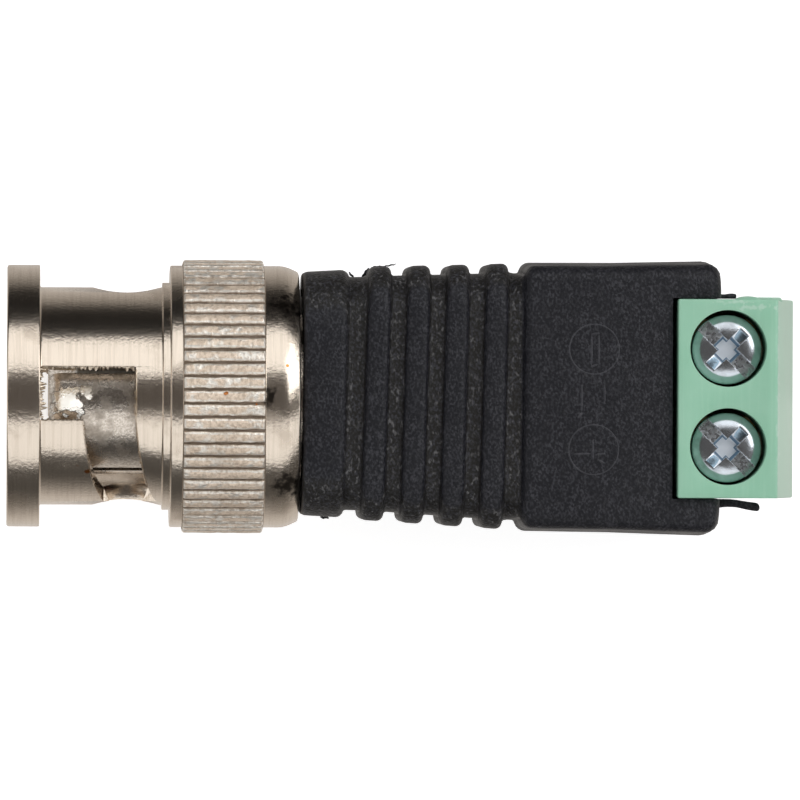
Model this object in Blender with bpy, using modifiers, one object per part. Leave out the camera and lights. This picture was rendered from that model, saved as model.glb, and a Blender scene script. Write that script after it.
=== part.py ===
# BNC plug to two-pole screw terminal adapter, lying on a table with its screws facing up.
# +X runs from the plug's mating face to the terminal, and the origin is under the middle of the adapter.

import math

import bmesh
import bpy
from mathutils import Matrix, Vector

MM = 0.001
COLLECTION = "bnc_screw_terminal_adapter"
CUTTERS = "cutters"

# Whole adapter
LENGTH = 41.0 * MM
ROUND_STEPS = 62
FINE_STEPS = 36
SMALL_STEPS = 28
FIT = 0.05 * MM
OVERSHOOT = 1 * MM
ROOTED = 1.5 * MM

# Coupling nut: distances along the axis are measured from the mating face
RIM_LENGTH = 1.72 * MM
RIM_RADIUS = 6.83 * MM
RIM_CHAMFER = 0.12 * MM
BARREL_RADIUS = 5.675 * MM
FLANGE_START = 8.09 * MM
FLANGE_RADIUS = 5.93 * MM
STEP_START = 8.49 * MM
STEP_RADIUS = 6.83 * MM
KNURL_START = 9.17 * MM
KNURL_END = 13.34 * MM
KNURL_RADIUS = 7.13 * MM
KNURL_CHAMFER = 0.15 * MM
KNURL_TEETH = 62
KNURL_DEPTH = 0.2 * MM
KNURL_GROOVE_WIDTH = 0.19 * MM
LIP_BEND_START = 14.46 * MM
LIP_FACE_RADIUS = 6.5 * MM
NUT_LENGTH = 15.2 * MM
LIP_THICKNESS = 0.75 * MM
LIP_HOLE_RADIUS = 4.5 * MM
NUT_BORE_RADIUS = 4.9 * MM
NUT_BORE_CHAMFER = 0.25 * MM
CHAMBER_RADIUS = 5.9 * MM
CHAMBER_START = 11.95 * MM
AXIS_HEIGHT = KNURL_RADIUS

# Bayonet slots: two, half a turn apart
SLOT_TURN = math.radians(-1.5)
SLOT_HALF_WIDTH = 1.37 * MM
KEYWAY_RADIUS = 5.6 * MM
WINDOW_END = 6.68 * MM
RAMP_START = 5.27 * MM
RAMP_RISE = 1.16 * MM
RAMP_SWEEP = math.radians(76)
RAMP_POWER = 1.8
RAMP_STEPS = 7
DETENT_RADIUS = 1.75 * MM
DETENT_POSITION = 6.22 * MM
DETENT_ANGLE = math.radians(91.5)

# Plug body, the outer contact
SLEEVE_RADIUS = 4.05 * MM
SLEEVE_BORE_RADIUS = 3.25 * MM
SLEEVE_TIP = 2.3 * MM
SLEEVE_TIP_CHAMFER = 0.3 * MM
FINGER_SWELL = 0.08 * MM
FINGER_SWELL_RUN = (0.6 * MM, 1.1 * MM, 2.2 * MM)
FINGER_SLOT_WIDTH = 0.4 * MM
FINGER_SLOT_END = 7.3 * MM
BODY_FLANGE_START = 12.0 * MM
BODY_FLANGE_END = 13.0 * MM
BODY_FLANGE_RADIUS = 5.8 * MM
TAIL_RADIUS = 4.3 * MM
TAIL_GROOVE_START = 16.5 * MM
TAIL_GROOVE_END = 17.3 * MM
TAIL_GROOVE_RADIUS = 3.7 * MM
TAIL_COLLAR_RADIUS = 4.2 * MM
TAIL_END = 18.3 * MM
TAIL_HOLE_RADIUS = 2.4 * MM
SOLDER_TROUGH_END = 21.3 * MM
SOLDER_TROUGH_RADIUS = 3.4 * MM
SOLDER_TROUGH_DEPTH = 1.2 * MM
SHOULDER = 14.6 * MM

# Insulator and centre pin
INSULATOR_TIP = 3.6 * MM
INSULATOR_RADIUS = 3.2 * MM
INSULATOR_BORE_RADIUS = 2.45 * MM
INSULATOR_FLOOR = 9.0 * MM
PIN_HOLE_END = 10.2 * MM
PIN_TIP = 2.4 * MM
PIN_RADIUS = 0.675 * MM
PIN_NOSE = ((1, 0.6 * MM), (0.8, 0.2 * MM), (0.4, 0))
PIN_SHANK_RADIUS = 1.1 * MM
PIN_CUP_START = 14.9 * MM
PIN_CUP_CONE = 0.3 * MM
PIN_CUP_END = 17.3 * MM
PIN_CUP_RADIUS = 0.7 * MM

# Gasket, wave washer and thrust washer
GASKET_LENGTH = 0.9 * MM
GASKET_RADIUS = 4.82 * MM
WAVE_START = 13.05 * MM
WAVE_END = 13.95 * MM
WAVE_THICKNESS = 0.25 * MM
WAVE_COUNT = 3
WAVE_RADIUS = 5.7 * MM
WASHER_HOLE_RADIUS = 4.4 * MM
THRUST_START = 14.0 * MM
THRUST_THICKNESS = 0.4 * MM
THRUST_RADIUS = 5.8 * MM

# Moulded body: heights are measured from the plug's axis, which lies in the mould's parting plane
BAND_START = 15.35 * MM
BAND_END = 17.61 * MM
BAND_HALF_WIDTHS = (6.42 * MM, 6.53 * MM)
BAND_CORNER = 2.9 * MM
CORE_START = 16.5 * MM
CORE_END = 27.2 * MM
CORE_HALF_WIDTHS = (5.98 * MM, 6.56 * MM)
CORE_CORNER = 1.9 * MM
RIB_COUNT = 4
RIB_START = 18.41 * MM
RIB_PITCH = 2.035 * MM
RIB_WIDTH = 1.42 * MM
RIB_HALF_WIDTH = 6.64 * MM
RIB_GROWTH = 0.103 * MM
RIB_CORNER = 2.1 * MM
RIM_ROUND = 0.26 * MM
FLATTENING = 0.85 * MM
BLOCK_START = 26.4 * MM
BLOCK_END = 36.92 * MM
BLOCK_HALF_WIDTHS = (7.06 * MM, 7.22 * MM)
BLOCK_HALF_HEIGHT = 6.2 * MM
BLOCK_DRAFT = 0.24 * MM
BLOCK_CORNER = 0.6 * MM
TONGUE_END = 39.4 * MM
TONGUE_HALF_WIDTH = 4.9 * MM
TONGUE_RISE = 0.15 * MM
TONGUE_ROUND = 0.4 * MM
POCKET_GAP = 0.25 * MM
LIP_LENGTHS = (1.15 * MM, 2.48 * MM)
LIP_GAPS = (0.1 * MM, 0.2 * MM)
LIP_WIDTH = 0.36 * MM
LIP_HEIGHT = 0.5 * MM
LIP_ROUND = 0.12 * MM

# Terminal housing
HOUSING_HALF_WIDTH = 5.15 * MM
HOUSING_TOP = 6.77 * MM
HOUSING_BASE = -3.23 * MM
HOUSING_BACK = 34.7 * MM
HOUSING_FOOT_BACK = 33.6 * MM
HOUSING_FOOT_HEIGHT = 0.5 * MM
HOUSING_BACK_SLOPE_HEIGHT = 2.0 * MM
HOUSING_TOP_FRONT = 39.86 * MM
HOUSING_FRONT = LENGTH
HOUSING_FRONT_SLOPE_HEIGHT = 1.6 * MM
HOUSING_ROUND = 0.12 * MM
WELL_RADIUS = 1.985 * MM
SIDE_RIB_START = 38.1 * MM
SIDE_RIB_END = 40.5 * MM
SIDE_RIB_DEPTH = 0.15 * MM
SIDE_RIB_ROUND = 0.14 * MM
POLE_POSITION = 37.27 * MM
POLE_SPACING = 5.08 * MM
POLES = {"plus": -0.5, "minus": 0.5}

# Clamp frames, wire guards and screws
FRAME_LENGTH = 3.6 * MM
FRAME_WIDTH = 3.9 * MM
FRAME_TOP = 1.87 * MM
FRAME_BASE = -2.93 * MM
FRAME_WALL = 0.5 * MM
FRAME_ROOF = 0.9 * MM
FRAME_FLOOR = 0.6 * MM
FRAME_BEND = 0.35 * MM
FRAME_THREAD_RADIUS = 1.5 * MM
SOLDER_PIN_SIZE = (0.8 * MM, 1.0 * MM)
SOLDER_PIN_END = -5.6 * MM
ENTRY_HALF_WIDTH = 1.45 * MM
ENTRY_TOP = 0.95 * MM
ENTRY_BASE = -2.4 * MM
ENTRY_FLARE = 0.35 * MM
GUARD_WIDTH = 2.6 * MM
GUARD_LENGTH = 3.3 * MM
GUARD_THICKNESS = 0.3 * MM
GUARD_LIP = 0.45 * MM
GUARD_TOP = 0.42 * MM
SCREW_TIP = 0.47 * MM
SCREW_THREAD_RADIUS = 1.45 * MM
SCREW_TIP_CHAMFER = 0.3 * MM
HEAD_BASE = 4.52 * MM
HEAD_TOP = 6.22 * MM
HEAD_RADIUS = 1.925 * MM
HEAD_ROUND = 0.55 * MM
RECESS_TURN = math.radians(-45)
RECESS_SLOT_WIDTH = 0.73 * MM
RECESS_SLOT_DEPTH = 0.65 * MM
RECESS_CROSS_WIDTH = 0.8 * MM
RECESS_CROSS_REACH = 1.28 * MM
RECESS_CROSS_DEPTH = 1.15 * MM
RECESS_CROSS_FOOT = 0.6

# Leads
WIRE_RADIUS = 0.3 * MM
INSULATION_RADIUS = 0.6 * MM
LEAD_HEIGHT = -4.55 * MM
LEAD_END = 36.75 * MM
ROUTE_STEPS = 3
SIGNAL_SLEEVE_START = 17.8 * MM
GROUND_SLEEVE_START = 21.8 * MM
STRIPPED = 1.3 * MM
SOLDER_RADIUS = 0.75 * MM
SOLDER_FIT = 0.025 * MM
CUP_SOLDER_INSET = 0.25 * MM
TROUGH_SOLDER_RADIUS = 0.465 * MM
TROUGH_SOLDER_LENGTH = 1.6 * MM
TROUGH_SOLDER_INSET = 0.4 * MM

# Colours: base colour, roughness and metallic
FINISHES = {
    "nickel": ((0.72, 0.69, 0.64), 0.22, 1.0),
    "brass": ((0.78, 0.62, 0.33), 0.3, 1.0),
    "gold": ((0.85, 0.66, 0.32), 0.25, 1.0),
    "zinc": ((0.62, 0.66, 0.72), 0.3, 1.0),
    "tin": ((0.7, 0.7, 0.69), 0.35, 1.0),
    "steel": ((0.55, 0.55, 0.56), 0.35, 1.0),
    "black_plastic": ((0.018, 0.018, 0.02), 0.55, 0.0),
    "green_plastic": ((0.29, 0.55, 0.4), 0.4, 0.0),
    "white_plastic": ((0.85, 0.85, 0.82), 0.45, 0.0),
    "red_sleeve": ((0.5, 0.03, 0.02), 0.5, 0.0),
    "black_sleeve": ((0.02, 0.02, 0.02), 0.5, 0.0),
    "gasket_rubber": ((0.45, 0.1, 0.07), 0.6, 0.0),
}


# Scene helpers


def clear_scene():
    for item in list(bpy.data.objects):
        bpy.data.objects.remove(item, do_unlink=True)


def new_collection(name):
    collection = bpy.data.collections.new(name)
    bpy.context.scene.collection.children.link(collection)
    return collection


def finish(name):
    color, roughness, metallic = FINISHES[name]
    material = bpy.data.materials.get(name) or bpy.data.materials.new(name)
    material.use_nodes = True
    shader = material.node_tree.nodes["Principled BSDF"]
    shader.inputs["Base Color"].default_value = (*color, 1.0)
    shader.inputs["Roughness"].default_value = roughness
    shader.inputs["Metallic"].default_value = metallic
    return material


def add_empty(name, location, rotation=(0, 0, 0), parent=None):
    empty = bpy.data.objects.new(name, None)
    empty.empty_display_size = 5 * MM
    empty.location = location
    empty.rotation_euler = rotation
    empty.parent = parent
    bpy.data.collections[COLLECTION].objects.link(empty)
    return empty


def add_object(name, mesh, parent, finish_name):
    # A piece without a finish is a cutter: the build leaves it out.
    item = bpy.data.objects.new(name, mesh)
    item.parent = parent
    if finish_name:
        mesh.materials.append(finish(finish_name))
        bpy.data.collections[COLLECTION].objects.link(item)
    else:
        item.hide_render = True
        item.display_type = "WIRE"
        bpy.data.collections[CUTTERS].objects.link(item)
    return item


def combine(part, other, operation):
    modifier = part.modifiers.new(other.name, "BOOLEAN")
    modifier.operation = operation
    modifier.solver = "EXACT"
    modifier.object = other


def cut(part, *cutters):
    for cutter in cutters:
        combine(part, cutter, "DIFFERENCE")


def join(part, *others):
    for other in others:
        combine(part, other, "UNION")


def settle(part):
    # Keeps the form that the modifiers give, and shades it smooth between its sharp edges.
    bpy.context.view_layer.update()
    graph = bpy.context.evaluated_depsgraph_get()
    mesh = bpy.data.meshes.new_from_object(part.evaluated_get(graph))
    part.modifiers.clear()
    part.data = mesh
    mesh.shade_smooth()
    mesh.set_sharp_from_angle(angle=math.radians(30))


# Shape helpers


def turned(name, profile, parent, finish_name=None, steps=FINE_STEPS):
    # The profile lists (radius, distance) down the outer side, and comes back up inside a hollow piece.
    mesh = bpy.data.meshes.new(name)
    points = [(radius, 0, distance) for radius, distance in profile]
    edges = [(i, i + 1) for i in range(len(points) - 1)]
    if profile[0][0] > 0:
        edges.append((len(points) - 1, 0))
    mesh.from_pydata(points, edges, [])
    item = add_object(name, mesh, parent, finish_name)
    screw = item.modifiers.new("turn", "SCREW")
    screw.axis = "Z"
    screw.angle = math.tau
    screw.steps = steps
    screw.render_steps = steps
    screw.use_merge_vertices = True
    screw.merge_threshold = 0.000001
    return item


def box(name, low, high, parent, finish_name=None, bevel=0, along=None):
    # A box between two corners. Only the edges along one axis are rounded where an axis is given.
    shape = bmesh.new()
    bmesh.ops.create_cube(shape, size=1)
    middle = [(a + b) / 2 for a, b in zip(low, high)]
    size = [b - a for a, b in zip(low, high)]
    bmesh.ops.scale(shape, vec=size, verts=shape.verts)
    bmesh.ops.translate(shape, vec=middle, verts=shape.verts)
    if bevel:
        edges = [e for e in shape.edges if along is None or runs_along(e, along)]
        bmesh.ops.bevel(shape, geom=edges, offset=bevel, segments=2, profile=0.5, affect="EDGES")
    return add_object(name, to_mesh(name, shape), parent, finish_name)


def cylinder(name, radius, low, high, parent):
    # A cutter that runs along the parent's Z axis.
    shape = bmesh.new()
    bmesh.ops.create_cone(
        shape, cap_ends=True, segments=SMALL_STEPS, radius1=radius, radius2=radius, depth=high - low
    )
    bmesh.ops.translate(shape, vec=(0, 0, (low + high) / 2), verts=shape.verts)
    return add_object(name, to_mesh(name, shape), parent, None)


def outline_solid(name, outline, half_depth, parent, finish_name=None):
    # A flat outline in X and Z, given thickness to both sides.
    curve = bpy.data.curves.new(name, "CURVE")
    curve.dimensions = "2D"
    curve.fill_mode = "BOTH"
    curve.extrude = half_depth
    spline = curve.splines.new("POLY")
    spline.points.add(len(outline) - 1)
    for point, (x, y) in zip(spline.points, outline):
        point.co = (x, y, 0, 1)
    spline.use_cyclic_u = True
    upright = Matrix.Rotation(math.pi / 2, 4, "X")
    return add_object(name, curve_mesh(name, curve, upright), parent, finish_name)


def tube(name, points, radius, parent, finish_name=None, sides=2):
    curve = bpy.data.curves.new(name, "CURVE")
    curve.dimensions = "3D"
    curve.bevel_depth = radius
    curve.bevel_resolution = sides - 1
    curve.use_fill_caps = True
    spline = curve.splines.new("POLY")
    spline.points.add(len(points) - 1)
    for point, place in zip(spline.points, points):
        point.co = (*place, 1)
    return add_object(name, curve_mesh(name, curve, Matrix.Identity(4)), parent, finish_name)


def curve_mesh(name, curve, turn):
    # The curve's own mesh, with its caps welded on.
    guide = bpy.data.objects.new(name, curve)
    bpy.data.collections[CUTTERS].objects.link(guide)
    bpy.context.view_layer.update()
    graph = bpy.context.evaluated_depsgraph_get()
    mesh = bpy.data.meshes.new_from_object(guide.evaluated_get(graph))
    bpy.data.objects.remove(guide, do_unlink=True)
    shape = bmesh.new()
    shape.from_mesh(mesh)
    bpy.data.meshes.remove(mesh)
    bmesh.ops.remove_doubles(shape, verts=shape.verts, dist=0.000001)
    bmesh.ops.transform(shape, matrix=turn, verts=shape.verts)
    bmesh.ops.recalc_face_normals(shape, faces=shape.faces)
    return to_mesh(name, shape)


def to_mesh(name, shape):
    mesh = bpy.data.meshes.new(name)
    shape.to_mesh(mesh)
    shape.free()
    return mesh


def runs_along(edge, axis):
    run = (edge.verts[0].co - edge.verts[1].co).normalized()
    return abs(run.dot(Vector(axis))) > 0.9


def smooth_path(points):
    # Points along a Catmull-Rom curve through the given ones.
    ends = [Vector(place) for place in (points[0], *points, points[-1])]
    path = []
    for a, b, c, d in zip(ends, ends[1:], ends[2:], ends[3:]):
        for step in range(ROUTE_STEPS):
            t = step / ROUTE_STEPS
            path.append(
                b
                + (c - a) * (t / 2)
                + (a * 2 - b * 5 + c * 4 - d) * (t * t / 2)
                + (b * 3 - a - c * 3 + d) * (t**3 / 2)
            )
    return [*path, Vector(points[-1])]


# Coupling nut


def coupling_nut(axis):
    lip_start = NUT_LENGTH - LIP_THICKNESS
    profile = [
        (LIP_HOLE_RADIUS, NUT_LENGTH),
        (LIP_FACE_RADIUS, NUT_LENGTH),
        (STEP_RADIUS, LIP_BEND_START),
        (STEP_RADIUS, KNURL_END),
        (KNURL_RADIUS - KNURL_CHAMFER, KNURL_END),
        (KNURL_RADIUS, KNURL_END - KNURL_CHAMFER),
        (KNURL_RADIUS, KNURL_START + KNURL_CHAMFER),
        (KNURL_RADIUS - KNURL_CHAMFER, KNURL_START),
        (STEP_RADIUS, KNURL_START),
        (STEP_RADIUS, STEP_START),
        (FLANGE_RADIUS, STEP_START),
        (FLANGE_RADIUS, FLANGE_START),
        (BARREL_RADIUS, FLANGE_START),
        (BARREL_RADIUS, RIM_LENGTH),
        (RIM_RADIUS, RIM_LENGTH),
        (RIM_RADIUS, RIM_CHAMFER),
        (RIM_RADIUS - RIM_CHAMFER, 0),
        (NUT_BORE_RADIUS + NUT_BORE_CHAMFER, 0),
        (NUT_BORE_RADIUS, NUT_BORE_CHAMFER),
        (NUT_BORE_RADIUS, CHAMBER_START),
        (CHAMBER_RADIUS, CHAMBER_START),
        (CHAMBER_RADIUS, lip_start),
        (LIP_HOLE_RADIUS, lip_start),
    ]
    nut = turned("coupling_nut", profile, axis, "nickel", ROUND_STEPS)
    cut(nut, knurl_cutter(axis))
    for side in range(2):
        turn = SLOT_TURN + side * math.pi
        cut(nut, *slot_cutters(axis, turn, side))
    return nut


def knurl_cutter(axis):
    # One three-sided groove, repeated round the nut halfway between the corners of its turned form.
    shape = bmesh.new()
    bottom = KNURL_RADIUS - KNURL_DEPTH
    top = KNURL_RADIUS + KNURL_DEPTH
    corners = [(bottom, 0), (top, -KNURL_GROOVE_WIDTH), (top, KNURL_GROOVE_WIDTH)]
    run_out = 0.2 * MM
    face = shape.faces.new([shape.verts.new((x, y, KNURL_START - run_out)) for x, y in corners])
    grown = bmesh.ops.extrude_face_region(shape, geom=[face])
    length = KNURL_END - KNURL_START + 2 * run_out
    tops = [v for v in grown["geom"] if isinstance(v, bmesh.types.BMVert)]
    bmesh.ops.translate(shape, vec=(0, 0, length), verts=tops)
    bmesh.ops.recalc_face_normals(shape, faces=shape.faces)
    bmesh.ops.spin(
        shape,
        geom=shape.verts[:] + shape.edges[:] + shape.faces[:],
        cent=(0, 0, 0),
        axis=(0, 0, 1),
        angle=math.tau * (KNURL_TEETH - 1) / KNURL_TEETH,
        steps=KNURL_TEETH - 1,
        use_duplicate=True,
    )
    cutter = add_object("knurl_cutter", to_mesh("knurl_cutter", shape), axis, None)
    cutter.rotation_euler.z = math.pi / KNURL_TEETH
    return cutter


def slot_cutters(axis, turn, side):
    # Each cutter is made on top of the nut, which is the axis frame's -X side, and turned into place.
    inner = NUT_BORE_RADIUS - OVERSHOOT
    outer = BARREL_RADIUS + OVERSHOOT
    # The lug's keyway runs inside the rim, and opens through the barrel behind it.
    entry_outline = [
        (-inner, -OVERSHOOT),
        (-KEYWAY_RADIUS, -OVERSHOOT),
        (-KEYWAY_RADIUS, RIM_LENGTH),
        (-outer, RIM_LENGTH),
        (-outer, WINDOW_END),
        (-inner, WINDOW_END),
    ]
    entry = outline_solid(f"entry_cutter_{side}", entry_outline, SLOT_HALF_WIDTH, axis)
    ramp = ramp_cutter(f"ramp_cutter_{side}", inner, outer, axis)
    for cutter in (entry, ramp):
        cutter.rotation_euler.z = turn
    detent = cylinder(f"detent_cutter_{side}", DETENT_RADIUS, inner, outer, axis)
    detent.location.z = DETENT_POSITION
    detent.rotation_euler = (0, -math.pi / 2, turn + DETENT_ANGLE)
    return entry, ramp, detent


def ramp_cutter(name, inner, outer, axis):
    # A square section swept round the barrel while it climbs along the axis.
    shape = bmesh.new()
    front = RAMP_START - SLOT_HALF_WIDTH
    back = RAMP_START + SLOT_HALF_WIDTH
    corners = [(-inner, front), (-outer, front), (-outer, back), (-inner, back)]
    face = shape.faces.new([shape.verts.new((x, 0, z)) for x, z in corners])
    climbed = 0
    for step in range(1, RAMP_STEPS + 1):
        grown = bmesh.ops.extrude_face_region(shape, geom=[face])["geom"]
        if step > 1:
            bmesh.ops.delete(shape, geom=[face], context="FACES_ONLY")
        verts = [v for v in grown if isinstance(v, bmesh.types.BMVert)]
        face = next(f for f in grown if isinstance(f, bmesh.types.BMFace))
        climb = RAMP_RISE * (step / RAMP_STEPS) ** RAMP_POWER
        bmesh.ops.translate(shape, vec=(0, 0, climb - climbed), verts=verts)
        turn = Matrix.Rotation(RAMP_SWEEP / RAMP_STEPS, 3, "Z")
        bmesh.ops.rotate(shape, matrix=turn, verts=verts)
        climbed = climb
    bmesh.ops.recalc_face_normals(shape, faces=shape.faces)
    return add_object(name, to_mesh(name, shape), axis, None)


# Plug body, insulator and pin


def plug_body(axis):
    swollen = SLEEVE_RADIUS + FINGER_SWELL
    swell_start, swell_end, swell_fade = (SLEEVE_TIP + run for run in FINGER_SWELL_RUN)
    profile = [
        (SOLDER_TROUGH_RADIUS, SOLDER_TROUGH_END),
        (TAIL_COLLAR_RADIUS, SOLDER_TROUGH_END),
        (TAIL_COLLAR_RADIUS, TAIL_GROOVE_END),
        (TAIL_GROOVE_RADIUS, TAIL_GROOVE_END),
        (TAIL_GROOVE_RADIUS, TAIL_GROOVE_START),
        (TAIL_RADIUS, TAIL_GROOVE_START),
        (TAIL_RADIUS, BODY_FLANGE_END),
        (BODY_FLANGE_RADIUS, BODY_FLANGE_END),
        (BODY_FLANGE_RADIUS, BODY_FLANGE_START),
        (SLEEVE_RADIUS, BODY_FLANGE_START),
        (SLEEVE_RADIUS, swell_fade),
        (swollen, swell_end),
        (swollen, swell_start),
        (swollen - SLEEVE_TIP_CHAMFER, SLEEVE_TIP),
        (SLEEVE_BORE_RADIUS + SLEEVE_TIP_CHAMFER / 2, SLEEVE_TIP),
        (SLEEVE_BORE_RADIUS, SLEEVE_TIP + SLEEVE_TIP_CHAMFER),
        (SLEEVE_BORE_RADIUS, SHOULDER),
        (TAIL_HOLE_RADIUS, SHOULDER),
        (TAIL_HOLE_RADIUS, TAIL_END),
        (SOLDER_TROUGH_RADIUS, TAIL_END),
    ]
    body = turned("plug_body", profile, axis, "nickel")
    reach = swollen + OVERSHOOT
    for i in range(2):
        slot = box(
            f"finger_slot_cutter_{i}",
            (-reach, -FINGER_SLOT_WIDTH / 2, SLEEVE_TIP - OVERSHOOT),
            (reach, FINGER_SLOT_WIDTH / 2, FINGER_SLOT_END),
            axis,
        )
        slot.rotation_euler.z = math.radians(45 + 90 * i)
        cut(body, slot)
    # The tail ends in a trough that keeps only the lower side, the axis frame's +X side.
    cut(body, upper_side("trough_cutter", TAIL_END, SOLDER_TROUGH_DEPTH, axis))
    return body


def upper_side(name, start, depth, axis):
    # A box over everything that lies above the trough's edges, behind a distance along the axis.
    reach = TAIL_COLLAR_RADIUS + OVERSHOOT
    return box(name, (-reach, -reach, start), (depth, reach, SOLDER_TROUGH_END + OVERSHOOT), axis)


def insulator(axis):
    end = SHOULDER - FIT
    profile = [
        (PIN_SHANK_RADIUS + FIT, end),
        (INSULATOR_RADIUS, end),
        (INSULATOR_RADIUS, INSULATOR_TIP),
        (INSULATOR_BORE_RADIUS, INSULATOR_TIP),
        (INSULATOR_BORE_RADIUS, INSULATOR_FLOOR),
        (PIN_RADIUS + FIT, INSULATOR_FLOOR),
        (PIN_RADIUS + FIT, PIN_HOLE_END),
        (PIN_SHANK_RADIUS + FIT, PIN_HOLE_END),
    ]
    return turned("insulator", profile, axis, "white_plastic")


def center_pin(axis):
    profile = [
        (0, PIN_CUP_START),
        (PIN_CUP_RADIUS, PIN_CUP_START + PIN_CUP_CONE),
        (PIN_CUP_RADIUS, PIN_CUP_END),
        (PIN_SHANK_RADIUS, PIN_CUP_END),
        (PIN_SHANK_RADIUS, PIN_HOLE_END + FIT),
        (PIN_RADIUS, PIN_HOLE_END + FIT),
        *[(PIN_RADIUS * share, PIN_TIP + distance) for share, distance in PIN_NOSE],
        (0, PIN_TIP),
    ]
    return turned("center_pin", profile, axis, "gold", 20)


# Rings behind the nut's shoulder


def gasket(axis):
    front = BODY_FLANGE_START - FIT - GASKET_LENGTH
    back = BODY_FLANGE_START - FIT
    hole = SLEEVE_RADIUS + FIT
    profile = [(hole, back), (GASKET_RADIUS, back), (GASKET_RADIUS, front), (hole, front)]
    return turned("gasket", profile, axis, "gasket_rubber")


def thrust_washer(axis):
    back = THRUST_START + THRUST_THICKNESS
    profile = [
        (WASHER_HOLE_RADIUS, back),
        (THRUST_RADIUS, back),
        (THRUST_RADIUS, THRUST_START),
        (WASHER_HOLE_RADIUS, THRUST_START),
    ]
    return turned("thrust_washer", profile, axis, "steel")


def wave_washer(axis):
    # A flat ring whose rings of corners are lifted along a wave.
    front = WAVE_START
    back = WAVE_START + WAVE_THICKNESS
    hole = WASHER_HOLE_RADIUS + FIT
    profile = [(hole, back), (WAVE_RADIUS, back), (WAVE_RADIUS, front), (hole, front)]
    ring = turned("wave_washer", profile, axis, "steel", WAVE_COUNT * 12)
    settle(ring)
    lift = WAVE_END - back
    for vertex in ring.data.vertices:
        angle = math.atan2(vertex.co.y, vertex.co.x)
        vertex.co.z += lift * (1 - math.cos(WAVE_COUNT * angle)) / 2
    return ring


# Moulded body


def tapered_block(name, start, end, half_widths, corner, rim, parent):
    # A block that grows along X, a little flatter than it is wide, with round corners and end rims.
    shape = bmesh.new()
    bmesh.ops.create_cube(shape, size=2)
    for vertex in shape.verts:
        far = vertex.co.x > 0
        vertex.co.y *= half_widths[far]
        vertex.co.z *= half_widths[far] - FLATTENING
        vertex.co.x = end if far else start
    long_edges = [e for e in shape.edges if runs_along(e, (1, 0, 0))]
    bmesh.ops.bevel(
        shape, geom=long_edges, offset=corner, segments=4, profile=0.5, affect="EDGES"
    )
    if rim:
        rims = [e for e in shape.edges if e.verts[0].co.x == e.verts[1].co.x]
        bmesh.ops.bevel(shape, geom=rims, offset=rim, segments=2, profile=0.5, affect="EDGES")
    return add_object(name, to_mesh(name, shape), parent, None)


def terminal_block(parent):
    # The square block: every side leans in from the parting plane at half height, by the mould's draft.
    shape = bmesh.new()
    bmesh.ops.create_cube(shape, size=2)
    whole = shape.verts[:] + shape.edges[:] + shape.faces[:]
    bmesh.ops.bisect_plane(shape, geom=whole, plane_co=(0, 0, 0), plane_no=(0, 0, 1))
    for vertex in shape.verts:
        far = vertex.co.x > 0
        draft = BLOCK_DRAFT * abs(vertex.co.z)
        vertex.co.y *= BLOCK_HALF_WIDTHS[far] - draft
        vertex.co.x = BLOCK_END - draft if far else BLOCK_START + draft
        vertex.co.z *= BLOCK_HALF_HEIGHT
    edges = [e for e in shape.edges if abs(e.verts[0].co.z) + abs(e.verts[1].co.z) > FIT]
    bmesh.ops.bevel(
        shape, geom=edges, offset=BLOCK_CORNER, segments=3, profile=0.5, affect="EDGES"
    )
    return add_object("moulded_body", to_mesh("moulded_body", shape), parent, "black_plastic")


def moulded_body(frame, axis, lead_paths):
    body = terminal_block(frame)
    core = tapered_block("core_guide", CORE_START, CORE_END, CORE_HALF_WIDTHS, CORE_CORNER, 0, frame)
    band = tapered_block(
        "band_guide", BAND_START, BAND_END, BAND_HALF_WIDTHS, BAND_CORNER, RIM_ROUND, frame
    )
    join(body, core, band)
    for i in range(RIB_COUNT):
        start = RIB_START + i * RIB_PITCH
        half = RIB_HALF_WIDTH + i * RIB_GROWTH
        widths = (half - RIB_GROWTH / 3, half + RIB_GROWTH / 3)
        end = start + RIB_WIDTH
        join(body, tapered_block(f"rib_guide_{i}", start, end, widths, RIB_CORNER, RIM_ROUND, frame))
    tongue = box(
        "tongue_guide",
        (BLOCK_END - ROOTED, -TONGUE_HALF_WIDTH, TONGUE_RISE - BLOCK_HALF_HEIGHT),
        (TONGUE_END, TONGUE_HALF_WIDTH, HOUSING_BASE - FIT),
        frame,
        bevel=TONGUE_ROUND,
    )
    join(body, tongue, *side_lips(frame))
    cut(body, pocket_cutter(frame), tail_cutter(axis))
    for name, path in lead_paths.items():
        cut(body, tube(f"{name}_channel_cutter", path, INSULATION_RADIUS + FIT, frame, sides=3))
    for name, side in POLES.items():
        cut(body, joint_cutter(name, side * POLE_SPACING, frame))
    return body


def pocket_cutter(frame):
    # The space that the terminal housing sits in, with a gap behind its upper part.
    pocket_back = HOUSING_BACK - POCKET_GAP
    foot_back = HOUSING_FOOT_BACK - FIT
    floor = HOUSING_BASE - FIT
    above = HOUSING_TOP + OVERSHOOT
    beyond = LENGTH + OVERSHOOT
    outline = [
        (pocket_back, above),
        (pocket_back, HOUSING_BACK_SLOPE_HEIGHT + FIT),
        (foot_back, HOUSING_FOOT_HEIGHT + FIT),
        (foot_back, floor),
        (beyond, floor),
        (beyond, above),
    ]
    return outline_solid("pocket_cutter", outline, HOUSING_HALF_WIDTH + FIT, frame)


def joint_cutter(name, y, frame):
    # The space under a clamp for its solder pin, the bead on it and the end of the lead.
    x = POLE_POSITION
    reach = SOLDER_RADIUS + FIT
    return box(
        f"joint_cutter_{name}",
        (x - reach - WIRE_RADIUS, y - reach, SOLDER_PIN_END - FIT),
        (x + reach, y + reach, HOUSING_BASE + OVERSHOOT),
        frame,
    )


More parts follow.
